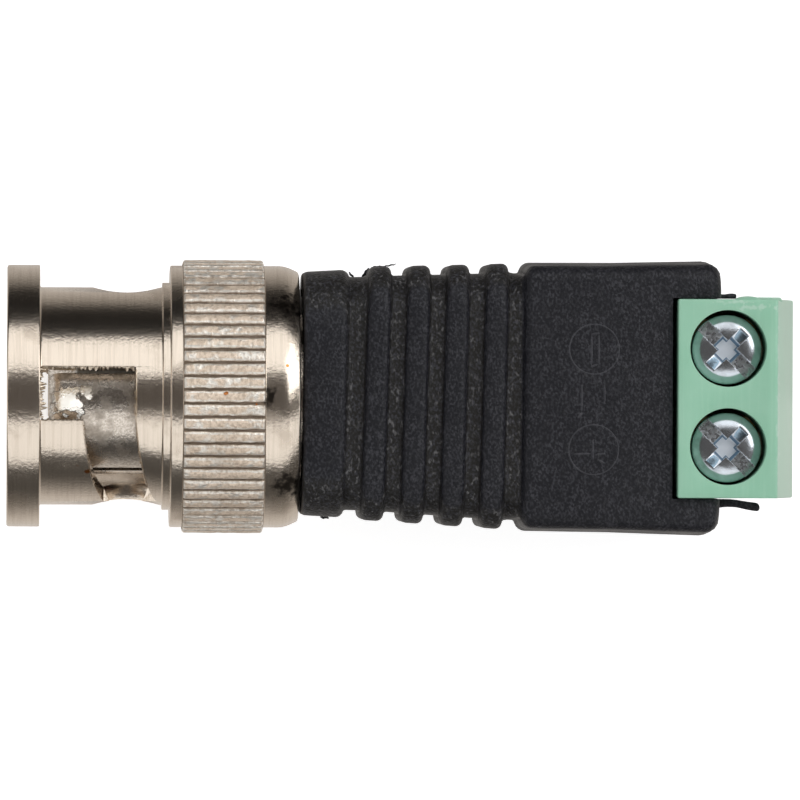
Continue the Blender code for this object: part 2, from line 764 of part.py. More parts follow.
def side_lips(frame):
    # Two thin fins of the moulding that reach forward beside the terminal housing.
    lips = []
    for side, length, gap in zip((1, -1), LIP_LENGTHS, LIP_GAPS):
        near = side * (HOUSING_HALF_WIDTH + gap)
        low, high = sorted((near, near + side * LIP_WIDTH))
        lips.append(
            box(
                f"lip_guide_{len(lips)}",
                (BLOCK_END - ROOTED, low, -LIP_HEIGHT),
                (BLOCK_END + length, high, LIP_HEIGHT),
                frame,
                bevel=LIP_ROUND,
                along=(0, 0, 1),
            )
        )
    return lips


def tail_cutter(axis):
    # The moulding grips the plug body's grooved tail, and fills the trough behind it.
    floor = TAIL_END + 2 * FIT
    profile = [
        (0, floor),
        (SOLDER_TROUGH_RADIUS - FIT, floor),
        (SOLDER_TROUGH_RADIUS - FIT, SOLDER_TROUGH_END + FIT),
        (TAIL_COLLAR_RADIUS + FIT, SOLDER_TROUGH_END + FIT),
        (TAIL_COLLAR_RADIUS + FIT, TAIL_GROOVE_END - FIT),
        (TAIL_GROOVE_RADIUS + FIT, TAIL_GROOVE_END - FIT),
        (TAIL_GROOVE_RADIUS + FIT, TAIL_GROOVE_START + FIT),
        (TAIL_RADIUS + FIT, TAIL_GROOVE_START + FIT),
        (TAIL_RADIUS + FIT, BAND_START - OVERSHOOT),
        (0, BAND_START - OVERSHOOT),
    ]
    cutter = turned("tail_cutter", profile, axis)
    cut(cutter, upper_side("trough_edge_cutter", TAIL_END + FIT, SOLDER_TROUGH_DEPTH - FIT, axis))
    return cutter


# Terminal


def terminal_housing(frame):
    outline = [
        (HOUSING_BACK, HOUSING_TOP),
        (HOUSING_BACK, HOUSING_BACK_SLOPE_HEIGHT),
        (HOUSING_FOOT_BACK, HOUSING_FOOT_HEIGHT),
        (HOUSING_FOOT_BACK, HOUSING_BASE),
        (HOUSING_FRONT, HOUSING_BASE),
        (HOUSING_FRONT, HOUSING_FRONT_SLOPE_HEIGHT),
        (HOUSING_TOP_FRONT, HOUSING_TOP),
    ]
    housing = outline_solid("terminal_housing", outline, HOUSING_HALF_WIDTH, frame, "green_plastic")
    soften(housing, HOUSING_ROUND)
    rib = box(
        "side_rib_guide",
        (SIDE_RIB_START, HOUSING_HALF_WIDTH - ROOTED / 2, HOUSING_BASE + ROOTED),
        (SIDE_RIB_END, HOUSING_HALF_WIDTH + SIDE_RIB_DEPTH, HOUSING_FRONT_SLOPE_HEIGHT),
        frame,
        bevel=SIDE_RIB_ROUND,
        along=(0, 0, 1),
    )
    join(housing, rib)
    for name, side in POLES.items():
        cut(housing, *pole_cutters(name, side * POLE_SPACING, frame))
    return housing


def pole_cutters(name, y, frame):
    # The screw well, the clamp frame's chamber, the wire entry and its flared mouth.
    x = POLE_POSITION
    well = cylinder(f"well_cutter_{name}", WELL_RADIUS, 0, HOUSING_TOP + OVERSHOOT, frame)
    well.location = (x, y, 0)
    half_length = FRAME_LENGTH / 2 + FIT
    half_width = FRAME_WIDTH / 2 + FIT
    chamber = box(
        f"chamber_cutter_{name}",
        (x - half_length, y - half_width, HOUSING_BASE - OVERSHOOT),
        (x + half_length, y + half_width, FRAME_TOP + FIT),
        frame,
    )
    entry = box(
        f"entry_cutter_{name}",
        (x, y - ENTRY_HALF_WIDTH, ENTRY_BASE),
        (LENGTH + OVERSHOOT, y + ENTRY_HALF_WIDTH, ENTRY_TOP),
        frame,
    )
    mouth = mouth_cutter(f"mouth_cutter_{name}", y, frame)
    return well, chamber, entry, mouth


def mouth_cutter(name, y, frame):
    # A four-sided funnel that opens towards the front face.
    shape = bmesh.new()
    bmesh.ops.create_cube(shape, size=2)
    half_height = (ENTRY_TOP - ENTRY_BASE) / 2
    middle = (ENTRY_TOP + ENTRY_BASE) / 2
    for vertex in shape.verts:
        flare = 2 * ENTRY_FLARE if vertex.co.x > 0 else 0
        vertex.co.y = y + vertex.co.y * (ENTRY_HALF_WIDTH + flare)
        vertex.co.z = middle + vertex.co.z * (half_height + flare)
        vertex.co.x = LENGTH + vertex.co.x * ENTRY_FLARE
    return add_object(name, to_mesh(name, shape), frame, None)


def soften(part, width):
    bevel = part.modifiers.new("soften", "BEVEL")
    bevel.width = width
    bevel.segments = 2
    bevel.limit_method = "ANGLE"
    bevel.angle_limit = math.radians(25)


def clamp_frame(name, pole):
    # A bent brass frame that is open towards the wire, with a threaded roof and a solder pin.
    half_length = FRAME_LENGTH / 2
    half_width = FRAME_WIDTH / 2
    frame = box(
        f"clamp_frame_{name}",
        (-half_length, -half_width, FRAME_BASE),
        (half_length, half_width, FRAME_TOP),
        pole,
        "brass",
        bevel=FRAME_BEND,
        along=(1, 0, 0),
    )
    pin_x, pin_y = (size / 2 for size in SOLDER_PIN_SIZE)
    pin = box(
        f"solder_pin_guide_{name}",
        (-pin_x, -pin_y, SOLDER_PIN_END),
        (pin_x, pin_y, FRAME_BASE + FRAME_FLOOR / 2),
        pole,
    )
    join(frame, pin)
    inside = box(
        f"frame_cutter_{name}",
        (-half_length - OVERSHOOT, -half_width + FRAME_WALL, FRAME_BASE + FRAME_FLOOR),
        (half_length + OVERSHOOT, half_width - FRAME_WALL, FRAME_TOP - FRAME_ROOF),
        pole,
        bevel=FRAME_BEND / 2,
        along=(1, 0, 0),
    )
    thread = cylinder(f"thread_cutter_{name}", FRAME_THREAD_RADIUS, 0, FRAME_TOP + OVERSHOOT, pole)
    cut(frame, inside, thread)
    return frame


def wire_guard(name, pole):
    # A strip whose front end is bent up to lead the wire in.
    half = GUARD_LENGTH / 2
    top = GUARD_TOP
    base = GUARD_TOP - GUARD_THICKNESS
    outline = [
        (-half, top),
        (-half, base),
        (half, base),
        (half + GUARD_LIP, base + GUARD_LIP / 2),
        (half + GUARD_LIP - GUARD_THICKNESS / 2, top + GUARD_LIP / 2),
        (half - GUARD_THICKNESS / 2, top),
    ]
    return outline_solid(f"wire_guard_{name}", outline, GUARD_WIDTH / 2, pole, "steel")


def terminal_screw(name, pole):
    dome = [
        (HEAD_RADIUS * math.sin(angle), HEAD_TOP - HEAD_ROUND * (1 - math.cos(angle)))
        for angle in (math.radians(a) for a in (0, 25, 45, 65, 90))
    ]
    profile = [
        *dome,
        (HEAD_RADIUS, HEAD_BASE),
        (SCREW_THREAD_RADIUS, HEAD_BASE),
        (SCREW_THREAD_RADIUS, SCREW_TIP + SCREW_TIP_CHAMFER),
        (SCREW_THREAD_RADIUS - SCREW_TIP_CHAMFER, SCREW_TIP),
        (0, SCREW_TIP),
    ]
    screw = turned(f"terminal_screw_{name}", profile, pole, "zinc", SMALL_STEPS)
    half = RECESS_SLOT_WIDTH / 2
    slot = box(
        f"recess_slot_cutter_{name}",
        (-WELL_RADIUS, -half, HEAD_TOP - RECESS_SLOT_DEPTH),
        (WELL_RADIUS, half, HEAD_TOP + OVERSHOOT),
        pole,
    )
    slot.rotation_euler.z = RECESS_TURN
    cut(screw, slot)
    for i in range(2):
        cut(screw, cross_cutter(f"recess_cross_cutter_{name}_{i}", RECESS_TURN + i * math.pi / 2, pole))
    return screw


def cross_cutter(name, turn, pole):
    # One bar of the cross recess, tapering downwards.
    shape = bmesh.new()
    bmesh.ops.create_cube(shape, size=2)
    for vertex in shape.verts:
        low = vertex.co.z < 0
        taper = RECESS_CROSS_FOOT if low else 1
        vertex.co.x *= RECESS_CROSS_REACH * taper * taper
        vertex.co.y *= RECESS_CROSS_WIDTH / 2 * taper
        vertex.co.z = HEAD_TOP - RECESS_CROSS_DEPTH if low else HEAD_TOP + FIT
    cutter = add_object(name, to_mesh(name, shape), pole, None)
    cutter.rotation_euler.z = turn
    return cutter


# Leads and solder


def lead_routes():
    # Each lead leaves the plug, drops under the terminal housing and runs forward to its clamp's solder pin.
    plus = POLES["plus"] * POLE_SPACING
    minus = POLES["minus"] * POLE_SPACING
    signal = [
        (15.9 * MM, 0, 0),
        (19.0 * MM, 0, 0),
        (23.5 * MM, plus * 0.35, -1.4 * MM),
        (28.5 * MM, plus * 0.9, LEAD_HEIGHT * 0.9),
        (32.5 * MM, plus, LEAD_HEIGHT),
        (LEAD_END, plus, LEAD_HEIGHT),
    ]
    ground = [
        (19.0 * MM, 0, -2.9 * MM),
        (21.5 * MM, 0, -2.9 * MM),
        (25.5 * MM, minus * 0.6, -3.7 * MM),
        (30.0 * MM, minus, LEAD_HEIGHT),
        (LEAD_END, minus, LEAD_HEIGHT),
    ]
    return {"signal": smooth_path(signal), "ground": smooth_path(ground)}


def lead(name, path, stripped_start, sleeve_finish, frame):
    wire = tube(f"{name}_wire", path, WIRE_RADIUS, frame, "tin")
    sleeve_path = trimmed(path, stripped_start, LEAD_END - STRIPPED)
    sleeve = tube(f"{name}_insulation", sleeve_path, INSULATION_RADIUS, frame, sleeve_finish)
    cut(sleeve, tube(f"{name}_core_cutter", path, WIRE_RADIUS + FIT, frame))
    return wire, sleeve


def trimmed(path, low, high):
    # The stretch of the path between two distances along X, with an end point set at each.
    inside = [point for point in path if low < point.x < high]
    return [crossing(path, low), *inside, crossing(path, high)]


def crossing(path, x):
    for a, b in zip(path, path[1:]):
        if a.x <= x <= b.x:
            return a.lerp(b, (x - a.x) / (b.x - a.x))
    return path[-1]


def cup_solder(frame, path):
    # Solder that fills the pin's cup round the wire.
    ends = [(path[0].x + CUP_SOLDER_INSET, 0, 0), (PIN_CUP_END - FIT, 0, 0)]
    bead = tube("solder_center", ends, PIN_CUP_RADIUS - FIT, frame, "tin", sides=3)
    cut(bead, tube("solder_center_cutter", path, WIRE_RADIUS + SOLDER_FIT, frame))
    return bead


def trough_solder(frame, path):
    # Solder that lies on the ground wire in the plug body's trough.
    low = path[0] + Vector((TROUGH_SOLDER_INSET, 0, FIT))
    high = low + Vector((TROUGH_SOLDER_LENGTH, 0, 0))
    bead = tube("solder_ground", [low, high], TROUGH_SOLDER_RADIUS, frame, "tin", sides=3)
    cut(bead, tube("solder_ground_cutter", path, WIRE_RADIUS + SOLDER_FIT, frame))
    return bead


def pin_solder(name, pole, path):
    # A bead round a clamp's solder pin and the end of its lead.
    shape = bmesh.new()
    bmesh.ops.create_uvsphere(shape, u_segments=12, v_segments=8, radius=SOLDER_RADIUS)
    bmesh.ops.translate(shape, vec=(0, 0, LEAD_HEIGHT), verts=shape.verts)
    bead = add_object(f"solder_{name}", to_mesh(f"solder_{name}", shape), pole, "tin")
    pin_x, pin_y = (size / 2 + SOLDER_FIT for size in SOLDER_PIN_SIZE)
    pin = box(
        f"solder_pin_cutter_{name}",
        (-pin_x, -pin_y, SOLDER_PIN_END - OVERSHOOT),
        (pin_x, pin_y, 0),
        pole,
    )
    wire = tube(f"solder_wire_cutter_{name}", path, WIRE_RADIUS + SOLDER_FIT, pole.parent)
    cut(bead, pin, wire)
    return bead


def build():
    clear_scene()
    new_collection(COLLECTION)
    new_collection(CUTTERS)
    face = (-LENGTH / 2, 0, AXIS_HEIGHT)
    # The plug's axis frame looks along its own Z, from the mating face towards the terminal.
    axis = add_empty("plug_axis", face, (0, math.pi / 2, 0))
    frame = add_empty("block_frame", face)
    routes = lead_routes()
    parts = [
        coupling_nut(axis),
        plug_body(axis),
        insulator(axis),
        center_pin(axis),
        gasket(axis),
        thrust_washer(axis),
        wave_washer(axis),
        moulded_body(frame, axis, routes),
        terminal_housing(frame),
        *lead("signal", routes["signal"], SIGNAL_SLEEVE_START, "red_sleeve", frame),
        *lead("ground", routes["ground"], GROUND_SLEEVE_START, "black_sleeve", frame),
        cup_solder(frame, routes["signal"]),
        trough_solder(frame, routes["ground"]),
    ]
    for (name, side), route in zip(POLES.items(), routes.values()):
        pole = add_empty(f"pole_{name}", (POLE_POSITION, side * POLE_SPACING, 0), parent=frame)
        parts += [clamp_frame(name, pole), wire_guard(name, pole), terminal_screw(name, pole)]
        parts.append(pin_solder(name, pole, route))
    for part in parts:
        settle(part)


build()
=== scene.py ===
# Finish and studio for a bayonet plug with a ribbed moulding and a two-pole screw terminal.
import math

import bmesh
import bpy
from mathutils import Matrix, Vector, noise


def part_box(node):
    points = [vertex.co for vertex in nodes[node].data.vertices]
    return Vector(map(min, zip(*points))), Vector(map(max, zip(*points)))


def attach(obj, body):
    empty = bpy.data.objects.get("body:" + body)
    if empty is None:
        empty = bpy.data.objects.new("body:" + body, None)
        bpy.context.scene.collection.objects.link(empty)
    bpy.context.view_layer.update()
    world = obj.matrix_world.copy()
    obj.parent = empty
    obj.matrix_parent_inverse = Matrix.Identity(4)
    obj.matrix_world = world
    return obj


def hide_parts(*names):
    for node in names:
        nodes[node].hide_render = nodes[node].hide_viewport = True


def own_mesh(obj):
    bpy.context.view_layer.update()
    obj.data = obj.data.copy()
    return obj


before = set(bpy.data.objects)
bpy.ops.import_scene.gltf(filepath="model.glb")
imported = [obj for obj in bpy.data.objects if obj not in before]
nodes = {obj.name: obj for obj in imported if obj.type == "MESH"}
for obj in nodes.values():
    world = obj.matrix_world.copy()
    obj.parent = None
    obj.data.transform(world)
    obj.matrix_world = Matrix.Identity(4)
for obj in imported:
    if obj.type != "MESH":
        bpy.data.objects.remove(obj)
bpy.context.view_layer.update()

scene = bpy.context.scene

# Pieces are modelled in millimetres. Distances run from the mating face, heights from the plug's axis.
mm = 0.001
nutLow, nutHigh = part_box("coupling_nut")
faceX = nutLow.x
axisHeight = (nutLow.z + nutHigh.z) / 2
blockSpace = Matrix.Translation((faceX, 0, axisHeight)) @ Matrix.Scale(mm, 4)
plugSpace = blockSpace @ Matrix.Rotation(math.pi / 2, 4, "Y")  # local Z runs along the plug, local -X is up
smoothAngle = math.radians(32)


# Modelling helpers

def newObject(name, shape):
    mesh = bpy.data.meshes.new(name)
    shape.to_mesh(mesh)
    shape.free()
    item = bpy.data.objects.new(name, mesh)
    scene.collection.objects.link(item)
    return item


def newSolid(name, shape):
    # An object whose faces all point outward.
    bmesh.ops.recalc_face_normals(shape, faces=shape.faces)
    return newObject(name, shape)


def move(shape, x=0, y=0, z=0):
    bmesh.ops.translate(shape, vec=(x, y, z), verts=shape.verts)


def settle(item):
    bpy.context.view_layer.update()
    graph = bpy.context.evaluated_depsgraph_get()
    mesh = bpy.data.meshes.new_from_object(item.evaluated_get(graph))
    item.modifiers.clear()
    item.data = mesh


def carve(item, *cutters, operation="DIFFERENCE"):
    for cutter in cutters:
        modifier = item.modifiers.new(cutter.name, "BOOLEAN")
        modifier.operation = operation
        modifier.solver = "EXACT"
        modifier.object = cutter
    settle(item)
    for cutter in cutters:
        bpy.data.objects.remove(cutter)


def place(item, space, material, body, slot, *replaced):
    # Moves the mesh to its place in the frame, and hands the piece to the body that carries it.
    item.data.transform(space)
    item.data.materials.clear()
    item.data.materials.append(material)
    item.data.shade_smooth()
    item.data.set_sharp_from_angle(angle=smoothAngle)
    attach(item, body)
    if replaced:
        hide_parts(*replaced)
    return item


def bevel(shape, parts, width, segments, kind="EDGES"):
    bmesh.ops.bevel(
        shape, geom=parts, offset=width, segments=segments, profile=0.5, affect=kind,
        clamp_overlap=kind == "EDGES", material=-1,
    )


def roundedWire(shape, corners, closed):
    # Corners are (x, z, rounding); the rounding is the length that the bend takes from each side.
    verts = [shape.verts.new((x, 0, z)) for x, z, *rest in corners]
    pairs = list(zip(verts, verts[1:]))
    if closed:
        pairs.append((verts[-1], verts[0]))
    for pair in pairs:
        shape.edges.new(pair)
    for vert, (x, z, *rest) in zip(verts, corners):
        if rest:
            bevel(shape, [vert], rest[0], 4, "VERTICES")


def spin(shape, steps, angle=math.tau, merge=False, rise=0):
    # Sweeps a wire round the Z axis, and up it by the rise at each step.
    bmesh.ops.spin(
        shape, geom=shape.verts[:] + shape.edges[:], cent=(0, 0, 0), axis=(0, 0, 1),
        dvec=(0, 0, rise), angle=angle, steps=steps, use_merge=merge,
    )


def turned(name, corners, steps):
    shape = bmesh.new()
    roundedWire(shape, corners, corners[0][0] > 0)
    spin(shape, steps, merge=True)
    bmesh.ops.remove_doubles(shape, verts=shape.verts, dist=0.0005)
    return newSolid(name, shape)


def slab(name, corners, low, high):
    # A flat outline in X and Z, extruded from one Y to another.
    shape = bmesh.new()
    roundedWire(shape, corners, True)
    move(shape, y=low)
    filled = bmesh.ops.contextual_create(shape, geom=shape.edges[:])["faces"]
    grown = bmesh.ops.extrude_face_region(shape, geom=filled)["geom"]
    tops = [v for v in grown if isinstance(v, bmesh.types.BMVert)]
    bmesh.ops.translate(shape, vec=(0, high - low, 0), verts=tops)
    return newSolid(name, shape)


def block(name, low, high, rounding=0, turn=None):
    shape = bmesh.new()
    bmesh.ops.create_cube(shape, size=1)
    bmesh.ops.scale(shape, vec=[b - a for a, b in zip(low, high)], verts=shape.verts)
    move(shape, *[(a + b) / 2 for a, b in zip(low, high)])
    if rounding:
        bevel(shape, shape.edges[:], rounding, 4)
    if turn:
        bmesh.ops.rotate(shape, matrix=turn, verts=shape.verts)
    return newObject(name, shape)


def drum(name, radius, low, high, matrix, segments=96):
    shape = bmesh.new()
    bmesh.ops.create_cone(
        shape, cap_ends=True, segments=segments, radius1=radius, radius2=radius, depth=high - low
    )
    move(shape, z=(low + high) / 2)
    bmesh.ops.transform(shape, matrix=matrix, verts=shape.verts)
    return newObject(name, shape)


def ball(reach):
    shape = bmesh.new()
    bmesh.ops.create_icosphere(shape, subdivisions=3, radius=1)
    bmesh.ops.scale(shape, vec=reach, verts=shape.verts)
    return shape


def ridge(start, end, halfWidth, halfHeight, waviness=0, frequency=23):
    # A long rounded bump from one (distance, side offset) to another.
    run = Vector(end) - Vector(start)
    shape = ball((run.length / 2 + halfWidth, halfWidth, halfHeight))
    for vert in shape.verts:
        vert.co.y += waviness * math.sin(vert.co.x * frequency)
    bmesh.ops.rotate(shape, matrix=Matrix.Rotation(math.atan2(run.y, run.x), 3, "Z"), verts=shape.verts)
    middle = (Vector(start) + Vector(end)) / 2
    move(shape, middle.x, middle.y)
    return shape


def edgeMiddle(edge):
    return (edge.verts[0].co + edge.verts[1].co) / 2


def softenEdges(item, wanted, width, segments=2, angle=50):
    # Rounds the sharp edges that the test picks, after the slivers that carving leaves are closed up.
    shape = bmesh.new()
    shape.from_mesh(item.data)
    bmesh.ops.dissolve_degenerate(shape, dist=0.002, edges=shape.edges)
    edges = [
        e for e in shape.edges
        if len(e.link_faces) == 2 and e.calc_face_angle() > math.radians(angle) and wanted(e)
    ]
    bevel(shape, edges, width, segments)
    shape.to_mesh(item.data)
    shape.free()


def addTo(shape, other):
    # Adds one bmesh to another by way of a short-lived mesh.
    mesh = bpy.data.meshes.new("part")
    other.to_mesh(mesh)
    other.free()
    shape.from_mesh(mesh)
    bpy.data.meshes.remove(mesh)


def between(value, steps):
    # Straight-line value between (position, value) pairs.
    if value <= steps[0][0]:
        return steps[0][1]
    for (a, low), (b, high) in zip(steps, steps[1:]):
        if value <= b:
            return low + (high - low) * (value - a) / (b - a)
    return steps[-1][1]


# Sizes of the moulded body, which its material reads too

body = {
    "ringSides": 112,
    "flatShare": 0.22,  # share of each quarter ring's points that lies on either flat
    "ribStart": 18.57,
    "ribPitch": 2.035,
    "ribWidth": 1.16,
    "ribHalfWidth": 6.6,
    "ribGrowth": 0.092,
    "wallSlope": 0.05,
    "coreHalfWidths": ((17.9, 6.05), (26.3, 6.45)),
    "blockStart": 26.68,
    "blockEnd": 36.97,
    "blockMiddle": 31.5,
    "blockHalfWidths": (7.01, 7.05, 7.19),
    "blockDraft": 0.24,
    "flattening": ((15, 0.82), (26.3, 0.82), (26.7, 0.79), (31.5, 0.82), (36.97, 0.97)),
    "corners": (
        (15.35, 2.9), (17.5, 2.9), (18.0, 1.9), (18.5, 2.1), (26.3, 2.1), (26.56, 0.75), (36.97, 0.75),
    ),
    # The moulding sits a little askew in its mould: side offset, skew of the ribs, lean of the block's start.
    "sideOffset": ((16, 0.18), (19.5, 0.19), (23.4, 0.11), (27.3, 0.055), (36, 0.01)),
    "skew": ((15.4, 0.006), (17.4, 0.018), (18.5, 0.031), (26.0, 0.021), (26.7, 0.012), (28, 0.004)),
    "lean": ((26.2, 0), (26.5, 0.024), (28, 0)),
    "pocketBack": 34.45,
}


# Shader groups

def addNode(tree, kind, **settings):
    node = tree.nodes.new(f"ShaderNode{kind}")
    for name, value in settings.items():
        setattr(node, name, value)
    return node


def feed(tree, socket, value):
    # Links the socket to another one, or sets its value.
    if isinstance(value, bpy.types.NodeSocket):
        tree.links.new(value, socket)
    else:
        socket.default_value = value


def mathNode(tree, operation, *values, kind="Math"):
    node = addNode(tree, kind, operation=operation)
    for socket, value in zip(node.inputs, values):
        feed(tree, socket, value)
    return node.outputs["Value" if operation == "LENGTH" else 0]


def vectorNode(tree, operation, *values):
    return mathNode(tree, operation, *values, kind="VectorMath")


def times(tree, first, second):
    return mathNode(tree, "MULTIPLY", first, second)


def remap(tree, value, low, high, toLow=0.0, toHigh=1.0, easing="LINEAR"):
    # Carries the value from one pair of limits to another, and holds it there.
    node = addNode(tree, "MapRange", interpolation_type=easing)
    for socket, given in zip(node.inputs, (value, low, high, toLow, toHigh)):
        feed(tree, socket, given)
    return node.outputs["Result"]


def spread(tree, mask, low, high):
    return remap(tree, mask, 0.0, 1.0, low, high)


def band(tree, value, low, high, nextLow=None, nextHigh=None):
    # 1 above the first pair of values, and back to 0 above the second pair, in millimetres.
    rise = remap(tree, value, low * mm, high * mm)
    if nextLow is None:
        return rise
    return mathNode(tree, "SUBTRACT", rise, band(tree, value, nextLow, nextHigh))


def objectPlace(tree):
    return addNode(tree, "TexCoord").outputs["Object"]


def parts(tree, vector):
    split = addNode(tree, "SeparateXYZ")
    feed(tree, split.inputs[0], vector)
    return split.outputs


def axisRadius(tree):
    # Distance from the plug's axis, in metres.
    across = vectorNode(tree, "MULTIPLY_ADD", objectPlace(tree), (0, 1, 1), (0, 0, -axisHeight))
    return vectorNode(tree, "LENGTH", across)


def newGroup(name, inputs, outputs):
    group = bpy.data.node_groups.new(name, "ShaderNodeTree")
    for label, value in inputs.items():
        kind = "NodeSocketVector" if isinstance(value, tuple) else "NodeSocketFloat"
        group.interface.new_socket(name=label, in_out="INPUT", socket_type=kind).default_value = value
    for label in outputs:
        group.interface.new_socket(name=label, in_out="OUTPUT", socket_type="NodeSocketFloat")
    return group, group.nodes.new("NodeGroupInput").outputs, group.nodes.new("NodeGroupOutput").inputs


def addTexture(tree, vector, size, detail):
    # Noise of a size given in millimetres.
    texture = addNode(tree, "TexNoise")
    feed(tree, texture.inputs["Vector"], vector)
    feed(tree, texture.inputs["Scale"], mathNode(tree, "DIVIDE", 1 / mm, size))
    feed(tree, texture.inputs["Detail"], detail)
    return texture.outputs[0]


def buildMarking():
    # Noise, stretched and turned, cut to a soft-edged mask.
    inputs = {"Size": 1.0, "Detail": 3.0, "Low": 0.4, "High": 0.6, "Stretch": (1, 1, 1), "Turn": (0, 0, 0)}
    group, given, result = newGroup("marking", inputs, ("Mask", "Height"))
    mapping = addNode(group, "Mapping")
    feed(group, mapping.inputs["Vector"], objectPlace(group))
    feed(group, mapping.inputs["Rotation"], given["Turn"])
    feed(group, mapping.inputs["Scale"], given["Stretch"])
    height = addTexture(group, mapping.outputs[0], given["Size"], given["Detail"])
    mask = remap(group, height, given["Low"], given["High"], easing="SMOOTHSTEP")
    feed(group, result["Mask"], mask)
    feed(group, result["Height"], height)
    return group


def buildSpot():
    # One patch at a place on the part, with an edge made ragged by noise.
    inputs = {"Place": (0, 0, 0), "Reach": (1, 1, 1), "Ragged": 0.5, "Grain": 0.3, "Edge": 0.3}
    group, given, result = newGroup("spot", inputs, ("Mask",))
    position = objectPlace(group)
    away = vectorNode(group, "SUBTRACT", position, given["Place"])
    share = vectorNode(group, "DIVIDE", away, given["Reach"])
    height = addTexture(group, position, given["Grain"], 4)
    offset = times(group, mathNode(group, "SUBTRACT", height, 0.5), given["Ragged"])
    distance = mathNode(group, "MULTIPLY_ADD", offset, 2.0, vectorNode(group, "LENGTH", share))
    inner = mathNode(group, "SUBTRACT", 1.0, given["Edge"])
    feed(group, result["Mask"], remap(group, distance, 1.0, inner, easing="SMOOTHSTEP"))
    return group


marking = buildMarking()
spot = buildSpot()


def addGroup(tree, group, **values):
    node = addNode(tree, "Group", node_tree=group)
    for label, value in values.items():
        node.inputs[label].default_value = value
    return node.outputs


def addMarking(tree, size, low, high, detail=3.0, stretch=(1, 1, 1), turn=(0, 0, 0)):
    return addGroup(tree, marking, Size=size, Low=low, High=high, Detail=detail, Stretch=stretch, Turn=turn)


def addSpot(tree, middle, reach, ragged=0.5, grain=0.3, edge=0.3):
    # Middle and reach are in millimetres: distance, side offset, height above the axis.
    middle = blockSpace @ Vector(middle)
    reach = [size * mm for size in reach]
    return addGroup(tree, spot, Place=middle, Reach=reach, Ragged=ragged, Grain=grain, Edge=edge)["Mask"]


def newMaterial(name, color, roughness, metallic=0.0):
    material = bpy.data.materials.new(name)
    material.use_nodes = True
    surface = material.node_tree.nodes["Principled BSDF"].inputs
    surface["Base Color"].default_value = (*color, 1)
    surface["Roughness"].default_value = roughness
    surface["Metallic"].default_value = metallic
    return material, material.node_tree, surface


def paint(tree, surface, base, layers):
    # Lays colours over each other: each layer is a mask, a colour, and the share of it that shows.
    base = (*base, 1)
    for mask, color, share in layers:
        mix = addNode(tree, "Mix", data_type="RGBA")
        feed(tree, mix.inputs[0], mask if share == 1 else times(tree, mask, share))
        feed(tree, mix.inputs[6], base)
        feed(tree, mix.inputs[7], (*color, 1))
        base = mix.outputs[2]
    feed(tree, surface["Base Color"], base)


def addBump(tree, surface, layers):
    # Stacked bumps: each layer is a height and its depth in millimetres.
    normal = None
    for height, depth in layers:
        bump = addNode(tree, "Bump")
        feed(tree, bump.inputs["Strength"], 1.0)
        feed(tree, bump.inputs["Distance"], depth * mm)
        feed(tree, bump.inputs["Height"], height)
        if normal:
            feed(tree, bump.inputs["Normal"], normal)
        normal = bump.outputs["Normal"]
    feed(tree, surface["Normal"], normal)


nickelLook = {
    "clean": (0.77, 0.675, 0.57),
    "lathe": (0.62, 0.53, 0.44),
    "brown": (0.34, 0.25, 0.17),
    "rust": (0.55, 0.20, 0.05),
    "darkReflection": (0.045, 0.035, 0.028),
    "knurl": (0.88, 0.735, 0.595),
    "crestHighlight": (0.98, 0.93, 0.85),
    "groove": (0.16, 0.12, 0.085),
    "roughness": 0.2,
    "knurlRoughness": 0.5,
    # radii between which the knurl, the painted shade in its grooves and the painted highlight on its crests'
    # edges begin, and end again
    "knurlRadii": (6.86, 6.89),
    "grooveRadii": (6.86, 6.89, 6.97, 7.06),
    "crestHighlightRadii": (7.02, 7.05, 7.115, 7.122),
    # middle, reach
    "rustSpots": (
        ((11.3, 0.17, 7.1), (0.16, 0.1, 0.3)),
        ((14.5, 1.61, 6.6), (0.08, 0.08, 0.3)),
        ((12.9, -0.4, 7.1), (0.07, 0.07, 0.3)),
        ((4.2, -3.9, 4.1), (0.2, 0.12, 0.3)),
    ),
    # dark patches on top of the step behind the knurl and on both sides of the rear lip: painted dark
    # reflection
    "darkReflectionSpots": (
        ((13.6, 0.05, 6.83), (0.4, 0.8, 0.8)),
        ((14.55, 4.7, 5.0), (1.0, 1.0, 3.0)),
        ((14.55, -4.6, 5.0), (0.95, 0.85, 3.0)),
    ),
}


